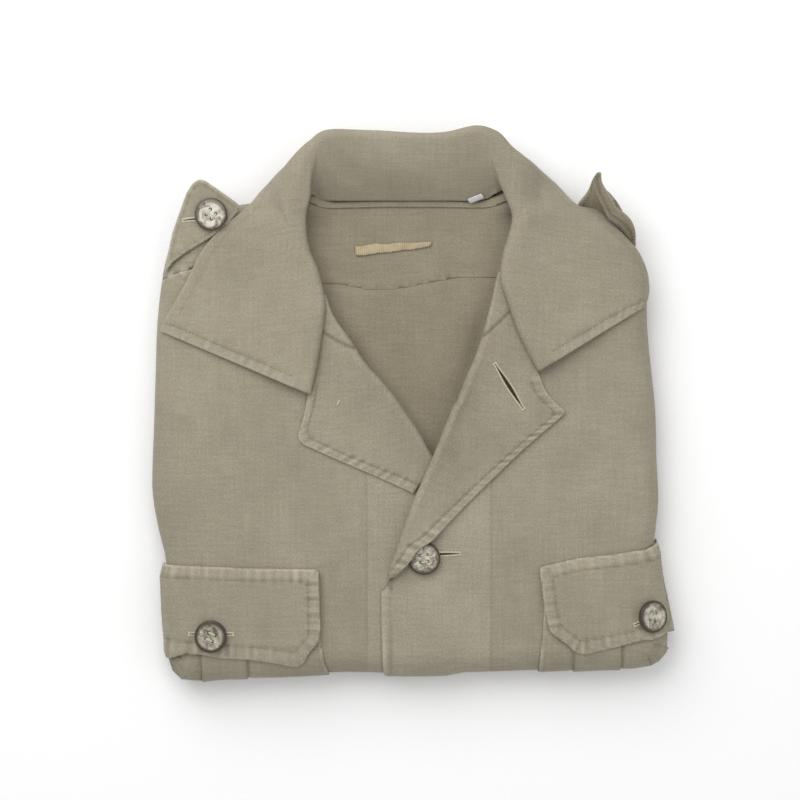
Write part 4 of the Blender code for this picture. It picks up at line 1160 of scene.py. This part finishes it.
def turnPiece(spec):
    # a smooth net through the sections, with seams worked along its free edges, and a wall
    sections = np.array(spec["sections"])
    rows = curveThrough(sections.reshape(len(sections), -1), steps=spec["rowSteps"])
    rows = rows.reshape(-1, sections.shape[1], 3)
    net = []
    for row in rows:
        fine = curveThrough(row, steps=6)
        runs = runLengths(fine)
        trim = np.array((0, 0.3, 0.9)) / runs[-1]        # short steps where the edge is rounded off
        inner = np.linspace(trim[2], 1 - trim[2], spec["across"])
        at = np.concatenate([trim[:2], inner, 1 - trim[1::-1]]) * runs[-1]
        net.append(np.column_stack([np.interp(at, runs, fine[:, axis]) for axis in range(3)]))
    net = np.array(net)

    def lengthsAlong(axis):
        steps = np.cumsum(np.linalg.norm(np.diff(net, axis=axis), axis=2), axis=axis)
        return np.pad(steps, ((1, 0), (0, 0)) if axis == 0 else ((0, 0), (1, 0)))

    middle = lengthsAlong(0)[:, net.shape[1] * 3 // 4]
    keep = np.concatenate([[0, 0.3, 0.9], np.arange(2.0, middle[-1] - 1.5, spec["rowPitch"]),
                           middle[-1] - np.array((0.9, 0.3, 0))])
    spot = np.interp(keep, middle, np.arange(len(middle)))
    low = np.minimum(spot.astype(int), len(net) - 2)
    share = (spot - low)[:, None, None]
    net = net[low] * (1 - share) + net[low + 1] * share
    normal = np.cross(np.gradient(net, axis=0), np.gradient(net, axis=1))
    normal /= np.maximum(np.linalg.norm(normal, axis=2), 1e-9)[..., None]
    if normal[:, -8:, 2].mean() < 0:
        normal = -normal
    lengthwise, across = lengthsAlong(0), lengthsAlong(1)
    toOuter = across[:, -1:] - across
    # higher up, the edge is covered
    sewn = np.where(net[:, -1:, 1] < spec.get("sewnBelow", unsewn), toOuter, unsewn)
    fall = across > spec["fallFrom"]        # no seams where the cloth turns in under the roll
    toFirst = np.where(fall & spec["endsSewn"], lengthwise, unsewn)
    toLast = np.where(fall & spec["endsSewn"], lengthwise[-1:] - lengthwise, unsewn)
    distance = np.minimum(np.minimum(sewn, toFirst), toLast)
    endwise = np.where(distance == toFirst, toOuter + 300, toOuter + 600)
    along = np.where(distance == sewn, lengthwise[:, -4:-3], endwise)
    rise, wear = seamRelief(distance, along, spec["stitchAt"], spec["seed"], spec["strength"],
                            spec["ruffle"])
    outerShare = spec.get("outerShare", 1.0)
    share = np.where(distance == sewn, outerShare, 1.0)
    rise, wear = rise * share, wear * np.maximum(share, 0.45)
    reach = smoothstep((spec["stitchAt"] + seamLook["reach"] - distance) / 5)
    flatNet = net.reshape(-1, 3)
    folds = creaseRelief(flatNet, spec.get("creases", ())).reshape(distance.shape)
    waves = softWaves(flatNet, spec["seed"], 48).reshape(distance.shape)
    folds += spec["waves"] * waves * smoothstep(distance / 14)
    # ridges rubbed paler, troughs darkened with painted shade
    wear = wear * reach + np.clip(folds, -1.5, 1.5) * creaseRubAndShade
    for path in spec.get("ditches", ()):        # a seam without a stitched margin
        gone = nearestOnPath(flatNet, path)[0].reshape(distance.shape)
        facingUp = normal[..., 2] > 0.2
        folds = folds - ditchLook["depth"] * np.exp(-(gone / ditchLook["width"]) ** 2) * facingUp
        # the seam line darkened with painted shade
        wear = wear - ditchLook["wear"] * np.exp(-(gone / ditchLook["line"]) ** 2) * facingUp
    toEnds = np.minimum(lengthwise, lengthwise[-1:] - lengthwise)
    rimDistance = np.minimum(np.minimum(toOuter, across), toEnds)
    body = np.sqrt(1 - (1 - np.clip(rimDistance / rimRound, 0, 1)) ** 2)
    half = spec["wall"] / 2
    upper = net + normal * ((half + np.maximum(rise * reach + folds, -0.6 * half)) * body)[..., None]
    lower = net - normal * ((half - np.maximum(folds, 0) * 0.8) * body)[..., None]
    count, columns = distance.shape
    index = np.arange(count * columns).reshape(count, columns)
    faces = np.stack([index[:-1, :-1], index[:-1, 1:], index[1:, 1:], index[1:, :-1]], axis=-1)
    faces = faces.reshape(-1, 4)
    first, second, _, fourth = [flatNet[column] for column in faces.T]
    facing = np.cross(second - first, fourth - first)
    if (facing * normal.reshape(-1, 3)[faces[:, 0]]).sum() < 0:
        faces = faces[:, ::-1]
    rim = np.zeros((count, columns), bool)
    rim[[0, -1]] = True
    rim[:, [0, -1]] = True
    crest = net[..., 2].max(axis=1, keepdims=True)
    beyond = np.arange(net.shape[1]) > net[..., 2].argmax(axis=1)[:, None]
    fallen = (crest - net[..., 2]) * np.where(beyond, 1, -1)
    # the grain runs straight down the piece
    uv = np.stack([net[..., 0], net[..., 1] + crest + fallen], axis=-1).reshape(-1, 2)
    made = closeShell(spec["name"], upper.reshape(-1, 3), lower.reshape(-1, 3), faces.tolist(), rim.ravel(),
                      uv, wear.ravel(), spec["finish"])
    spec["upper"], spec["normal"] = upper, normal
    spec["sheet"] = {"flat": (lengthwise.max() * 0.001, across.max() * 0.001),
                     "area": np.linalg.norm(facing, axis=1).sum() * 1e-6}
    spec["extras"] = edgeStitches(spec, sewn if outerShare > 0.5 else sewn + unsewn, toFirst, toLast)
    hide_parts(spec["node"])
    return made


def edgeStitches(spec, toOuter, toFirst, toLast):
    # the stitch line runs at one distance from each sewn edge
    stitchAt, upper, normal = spec["stitchAt"], spec["upper"], spec["normal"]
    half, middle = upper.shape[1] // 2, len(upper) // 2
    ends = np.minimum(toFirst, toLast)
    far = unsewn * 0.9
    lines = {"edge": [(toOuter[r, half:], upper[r, half:], normal[r, half:], ends[r, half:])
                      for r in range(len(upper))],
             "first": [(toFirst[:middle, c], upper[:middle, c], normal[:middle, c], toOuter[:middle, c])
                       for c in range(upper.shape[1]) if toFirst[0, c] < far],
             "last": [(toLast[middle:, c], upper[middle:, c], normal[middle:, c], toOuter[middle:, c])
                      for c in range(upper.shape[1]) if toLast[-1, c] < far]}
    made = []
    for label, choices in lines.items():
        line, ups = [], []
        for runs, points, normals, other in choices:
            order = np.argsort(runs)
            near = int(np.argmin(abs(runs - stitchAt)))
            if runs.min() > stitchAt or runs[runs < far].max() < stitchAt or other[near] < stitchAt * 0.97:
                continue
            line.append([np.interp(stitchAt, runs[order], points[order][:, axis]) for axis in range(3)])
            ups.append(normals[near])
        if len(line) > 3:
            line, ups = np.array(line), np.array(ups)
            made += sewStitches("%s_stitching_%s" % (spec["name"], label), line + ups * 0.22, ups)
    return made


def netSurface(spec):
    # a turned piece's outer face, as a function of places and a height over it
    points, normals = spec["upper"].reshape(-1, 3), spec["normal"].reshape(-1, 3)
    facing = normals[:, 2] > 0.3
    points, normals = points[facing], normals[facing]

    def surface(places, height):
        made = []
        for place in np.atleast_2d(places):
            gaps = ((points[:, :2] - place[:2]) ** 2).sum(1)
            near = np.argsort(gaps)[:4]
            weights = 1 / (gaps[near] + 0.05)
            weights /= weights.sum()
            up = (normals[near] * weights[:, None]).sum(0)
            foot = np.array((*place[:2], (points[near, 2] * weights).sum()))
            made.append(foot + up / np.linalg.norm(up) * height)
        return np.array(made)
    return surface


lapelLook = {
    "finish": twill, "wall": 1.4, "rowSteps": 12, "rowPitch": 1.3, "stitchAt": 6.6, "endsSewn": False,
    "fallFrom": 16, "strength": 0.9, "waves": 0.3,
}


def makeLapels():
    wall = lapelLook["wall"]
    right = {
        **lapelLook, "name": "lapel_right_cloth", "node": "lapel_right", "seed": 12.0, "across": 46,
        "sections": [lapelSection(row, rightGround, wall) for row in rightLapel], "ruffle": 1.05,
        "sewnBelow": 9, "ditches": (((-58, 46.5), (-53, 44), (-45, 39), (-35, 34.4)),),
    }
    made = turnPiece(right)
    surface = netSurface(right)
    tack = np.array(((-43.9, 2.7), (-45.8, -1.1)))
    right["extras"].append(threadBars("lapel_thread_mark", surface(tack[:1], 0.2), surface(tack[1:], 0.2),
                                      [(0, 0, 1)], 1.1, holeThread))
    declare(made, right)
    left = {
        **lapelLook, "name": "lapel_left_cloth", "node": "lapel_left", "seed": 13.5, "across": 54,
        "sections": [lapelSection(row, leftGround, wall) for row in leftLapel], "ruffle": 1.25,
        "sewnBelow": 17, "ditches": (((64, 59.5), (61.4, 57.2), (53, 49), (45.4, 42)),),
    }
    made = turnPiece(left)
    left["extras"] += sewButtonhole("buttonhole_lapel", (52.6, 24.8), (70.3, -3.0), netSurface(left), 1.7)
    declare(made, left)


def makeCollar():
    collar = {
        "name": "collar_cloth", "node": "collar", "finish": twill, "wall": collarLook["wall"], "seed": 14.0,
        "sections": [collarSection(row) for row in collarRows], "rowSteps": 10, "across": 74,
        "rowPitch": 1.9, "stitchAt": collarLook["stitchAt"], "endsSewn": True, "fallFrom": 22,
        "strength": 0.8, "ruffle": 0.5, "outerShare": 0.3, "waves": 0.35,
        "creases": ((((-46, 161), (-41, 149), (-27, 139)), 5, -0.8),
                    (((-58.9, 160), (-61, 145), (-62.7, 129)), 3, -0.7),
                    (((47.3, 168), (55, 148), (60.4, 127.5)), 3.5, -0.8)),
    }
    declare(turnPiece(collar), collar)


makeLapels()
makeCollar()
print("lapels and collar done")


# epaulettes
strapLook = {
    "wall": 2.0, "topZ": 29.2, "bendX": -141.0, "stitchAt": 2.4,
    "outline": ((-154.4, 81), (-151.6, 94), (-148.6, 107.5), (-139.8, 131.5), (-136, 137.4), (-131.5, 140.2),
                (-128, 139.4), (-107.2, 124.8), (-106.6, 121), (-113, 113), (-124, 103.8), (-138, 95.5),
                (-148, 88.6)),
    # each row runs from under the shoulder up to the turned strip and out to its edge
    "free": (
        ((104, 121, 14), (105.4, 126.1, 20), (110, 132, 25),
         (114.4, 139.5, 29), (116.2, 144.2, 30), (118.9, 144.4, 29)),
        ((109, 118, 14), (111.5, 125, 20), (114, 130.6, 26),
         (114.7, 137.9, 31), (117, 138.4, 31.6), (119, 138.8, 30)),
        ((115, 116, 14), (118, 121.6, 20), (118.8, 126, 26),
         (117.2, 129.6, 31.5), (119.5, 132.2, 32), (121.3, 134.4, 31)),
        ((118, 113, 14), (121.6, 118.4, 20), (122.4, 121.4, 26),
         (120.6, 123.3, 31.5), (123, 125.8, 32), (125.4, 128.1, 31)),
        ((121, 109, 14), (124.8, 114, 20), (125.4, 116.2, 26),
         (123.8, 116.4, 30.5), (126, 119.6, 31.5), (128.3, 122.6, 31)),
        ((124, 105, 14), (128, 110, 20), (129, 112.4, 25.6),
         (128.3, 113.6, 30), (131, 116.8, 31), (133.1, 119.2, 30)),
        ((128, 100, 14), (132, 106, 19.6), (133, 109, 25),
         (133.1, 110.8, 29), (135.3, 113, 30), (137.3, 115, 29)),
        ((131, 95, 12), (135.4, 101.6, 18), (136.2, 104.6, 23),
         (136.6, 106.7, 27), (138.4, 108.2, 28), (139.8, 109.4, 27)),
        ((134, 88, 12), (137.4, 95, 16), (138.8, 99, 20),
         (139.4, 101.1, 23.5), (140, 102.6, 24), (140.4, 103.9, 23.5)),
        ((135, 86, 12), (138, 90, 15), (139.2, 94, 18),
         (139.8, 97.5, 20.5), (140, 98.5, 21), (140.2, 99.4, 20.5))),
}


def strapPlace(places, height):
    # the strap lies over the shoulder and bends down past its side
    places = np.atleast_2d(places)
    out = np.maximum(strapLook["bendX"] + np.maximum(places[:, 1] - 80, 0) * 0.2 - places[:, 0], 0)
    share = np.minimum(out / (slab["edgeRound"] + 4), 0.95)
    rise = (strapLook["topZ"] + height - slab["edgeMiddle"]) * np.sqrt(1 - share ** 2)
    return np.column_stack([places, slab["edgeMiddle"] + rise])


def makeEpaulettes():
    outline = roundedOutline(strapLook["outline"], 1.5)
    strap = {
        **twillPiece, "name": "epaulette_right_cloth", "node": "epaulette_right", "wall": strapLook["wall"],
        "outline": outline, "cell": 1.4, "lift": noLift, "place": strapPlace, "seed": 15.0, "waves": 0.3,
        "seams": ({"path": np.vstack([outline, outline[:1]]), "stitchAt": strapLook["stitchAt"],
                   "strength": 0.7, "thread": True},),
    }
    made = layPiece(strap)
    surface = surfaceOf(strap)
    strap["extras"] += sewButtonhole("buttonhole_epaulette", (-141.6, 114.4), (-120, 116.5), surface, 0.4)
    declare(made, strap)
    curled = {
        # its underside faces up; the darker inner-side twill paints its shade
        "name": "epaulette_left_cloth", "node": "epaulette_left", "finish": shadedInsideTwill,
        "wall": strapLook["wall"], "seed": 16.0, "sections": strapLook["free"], "rowSteps": 10, "across": 24,
        "rowPitch": 1.2, "stitchAt": strapLook["stitchAt"], "endsSewn": True, "fallFrom": 0.5,
        "strength": 0.6, "ruffle": 0.2, "waves": 0.2,
        "ditches": (((116.6, 143), (115.7, 138.2), (118.2, 131), (121.7, 124.6), (124.9, 118), (129.5, 115),
                     (134.1, 112), (137.4, 107.4), (139.6, 101.8)),),
    }
    declare(turnPiece(curled), curled)


makeEpaulettes()
print("epaulettes done")


# buttons
buttonLook = {
    "radius": 0.0101, "thick": 0.0034, "rimWidth": 0.0021, "slope": 0.0007, "dishDepth": 0.0007,
    "holeRadius": 0.00105, "holePitch": 0.0021, "edgeRound": 0.0009, "holeRound": 0.00018,
    "faceInset": 0.0018, "backInset": 0.0026,
}


def selectFaces(thing, test):
    # picks faces by place and normal while in edit mode
    edit = bmesh.from_edit_mesh(thing.data)
    for face in edit.faces:
        face.select_set(bool(test(face)))
    bmesh.update_edit_mesh(thing.data)


def applyModifier(thing, kind, settings):
    deselectAll()
    thing.select_set(True)
    bpy.context.view_layer.objects.active = thing
    modifier = thing.modifiers.new("finish", kind)
    for key, value in settings.items():
        setattr(modifier, key, value)
    bpy.ops.object.modifier_apply(modifier="finish")


def turnButtonBlank():
    # a turned disc: rounded rim, a dished face and four drilled holes
    look = buttonLook
    deselectAll()
    bpy.ops.mesh.primitive_cylinder_add(vertices=64, radius=look["radius"], depth=look["thick"],
                                        location=(0, 0, look["thick"] / 2))
    blank = bpy.context.object
    bpy.ops.object.transform_apply(location=True, rotation=True, scale=True)
    bpy.ops.object.mode_set(mode="EDIT")
    bpy.ops.mesh.select_mode(type="FACE")
    selectFaces(blank, lambda face: face.normal.z > 0.9)
    bpy.ops.mesh.inset(thickness=look["rimWidth"])
    bpy.ops.mesh.inset(thickness=look["slope"])
    bpy.ops.transform.translate(value=(0, 0, -look["dishDepth"]))
    bpy.ops.mesh.inset(thickness=look["faceInset"])
    selectFaces(blank, lambda face: face.normal.z < -0.9)
    bpy.ops.mesh.inset(thickness=look["backInset"])
    bpy.ops.object.mode_set(mode="OBJECT")
    applyModifier(blank, "BEVEL", {"width": look["edgeRound"], "segments": 4, "limit_method": "ANGLE",
                                   "angle_limit": radians(50)})
    drills = []
    for x in (-1, 1):
        for y in (-1, 1):
            deselectAll()
            place = (x * look["holePitch"], y * look["holePitch"], 0)
            bpy.ops.mesh.primitive_cylinder_add(vertices=20, radius=look["holeRadius"],
                                                depth=look["thick"] * 4, location=place)
            drills.append(bpy.context.object)
    deselectAll()
    for drill in drills:
        drill.select_set(True)
    bpy.context.view_layer.objects.active = drills[0]
    bpy.ops.object.join()
    drill = bpy.context.object
    applyModifier(blank, "BOOLEAN", {"object": drill, "operation": "DIFFERENCE"})
    applyModifier(blank, "BEVEL", {"width": look["holeRound"], "segments": 2, "limit_method": "ANGLE",
                                   "angle_limit": radians(60)})
    bpy.data.objects.remove(drill, do_unlink=True)
    points = np.array([vert.co for vert in blank.data.vertices])
    radius = np.hypot(points[:, 0], points[:, 1]) / look["radius"]
    rim = blank.data.attributes.new("rim", "FLOAT", "POINT")
    rim.data.foreach_set("value", smoothstep((radius - 0.68) / 0.3).astype(np.float32))
    blank.data.materials.clear()
    blank.data.materials.append(horn)
    blank.data.shade_smooth()
    blank.data.set_sharp_from_angle(angle=radians(42))
    return blank


def sewButtons():
    blank = turnButtonBlank()
    flapRight, flapLeft = [np.array([place]) for place in ((-123.9, -144.4), (148.0, -132.6))]
    flapTops = [flapLift(place) + pocketLook["flapWall"] + 0.5 for place in (flapRight, flapLeft)]
    frontPlace = np.array([(8.5, -96.0)])
    frontTop = topHeight(frontPlace)[0] + leftFrontLift(frontPlace)[0] + slab["cloth"] + slab["gap"]
    strapTop = strapLook["topZ"] + strapLook["wall"] + slab["gap"]
    places = {        # where it is sewn, which way it faces, its turn, and how dark its horn is
        "button_front": ((8.5, -96, frontTop), (0, 0, 1), 8, 0.1),
        "button_pocket_right": (skinPoints(flapRight, flapTops[0])[0], (-0.06, -0.05, 1), 25, 0.3),
        "button_pocket_left": (skinPoints(flapLeft, flapTops[1])[0], (0.58, 0, 1), -12, 0.15),
        "button_epaulette_right": ((-124, 118, strapTop), (0, 0, 1), 50, 0.0),
        "button_epaulette_left": ((125.6, 124.0, 20.4), (0.82, 0.57, -0.05), 0, -0.5),
    }
    for name, (place, facing, spin, dark) in places.items():
        mesh = blank.data.copy()
        for item in mesh.attributes["rim"].data:
            item.value = max(item.value + dark, 0)
        turn = Vector(facing).normalized().to_track_quat("Z", "Y").to_matrix().to_4x4()
        seat = Matrix.Translation(Vector(toMetres(np.array(place))))
        matrix = seat @ turn @ Matrix.Rotation(radians(spin), 4, "Z")
        mesh.transform(matrix)
        made = newObject(name + "_horn", mesh)
        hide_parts(name)
        sewThreads(name, matrix)
    bpy.data.objects.remove(blank, do_unlink=True)


def sewThreads(name, matrix):
    # two runs of thread between the holes, and the shank under the button
    starts, ends = [], []
    pitch, over = buttonLook["holePitch"] * 1000, 2.75
    for y in (-pitch, pitch):
        for shift in (-0.35, 0, 0.35):
            starts.append((-2.6, y + shift, over))
            ends.append((2.6, y + shift, over))
    for x, y in ((-0.7, 0), (0.7, 0), (0, -0.7), (0, 0.7)):
        starts.append((x, y, 0.4))
        ends.append((x, y, -2.4))

    def moved(points):
        return np.array([matrix @ (Vector(point) * 0.001) for point in points]) * 1000 - frameShift

    ups = [matrix.to_3x3() @ Vector((0, 0, 1))] * 6 + [matrix.to_3x3() @ Vector((0, 1, 0))] * 4
    threadBars(name + "_thread", moved(starts), moved(ends), ups, 0.6, holeThread)


sewButtons()
print("buttons done")


# floor, light and camera
studioLook = {
    "worldStrength": 0.62, "keyEnergy": 16.0, "fillEnergy": 3.0, "lens": 120, "sensor": 36,
    "camera": (-0.00839, 0.00385, 1.6917),        # straight above, so that the jacket fills the picture
}


def makeStudio():
    deselectAll()
    bpy.ops.mesh.primitive_plane_add(size=6, location=(0, 0, -0.0004))
    floor = bpy.context.object
    floor.name = "pale_floor"
    paper, tree, shader = newFinish("seamless paper", 0.85, 0.1)
    place = addNode(tree, "TexCoord").outputs["Object"]
    grain = addNode(tree, "TexNoise", {"Scale": 900.0, "Detail": 2.0}, {"Vector": place}).outputs["Fac"]
    stops = ((0.3, "F3F3F3"), (0.7, "F7F7F7"))
    colour = addNode(tree, "ValToRGB", {"stops": stops}, {"Fac": grain}).outputs["Color"]
    tree.links.new(colour, shader.inputs["Base Color"])
    floor.data.materials.append(paper)
    world = bpy.data.worlds.new("soft studio")
    bpy.context.scene.world = world
    world.use_nodes = True
    world.node_tree.nodes["Background"].inputs["Color"].default_value = (1, 1, 1, 1)
    world.node_tree.nodes["Background"].inputs["Strength"].default_value = studioLook["worldStrength"]
    for name, place, size, energy in (("key", (-0.45, 0.85, 1.05), 1.3, studioLook["keyEnergy"]),
                                      ("fill", (0.8, -0.3, 1.2), 1.2, studioLook["fillEnergy"])):
        light = bpy.data.lights.new(name, "AREA")
        light.size = size
        light.energy = energy
        lamp = bpy.data.objects.new(name, light)
        lamp.location = place
        lamp.rotation_euler = (-Vector(place)).to_track_quat("-Z", "Y").to_euler()
        bpy.context.scene.collection.objects.link(lamp)
    lens = bpy.data.cameras.new("camera")
    lens.lens = studioLook["lens"]
    lens.sensor_width = studioLook["sensor"]
    camera = bpy.data.objects.new("camera", lens)
    camera.location = studioLook["camera"]
    bpy.context.scene.collection.objects.link(camera)
    bpy.context.scene.camera = camera
    bpy.context.scene.view_settings.view_transform = "Standard"


makeStudio()
print("studio done")
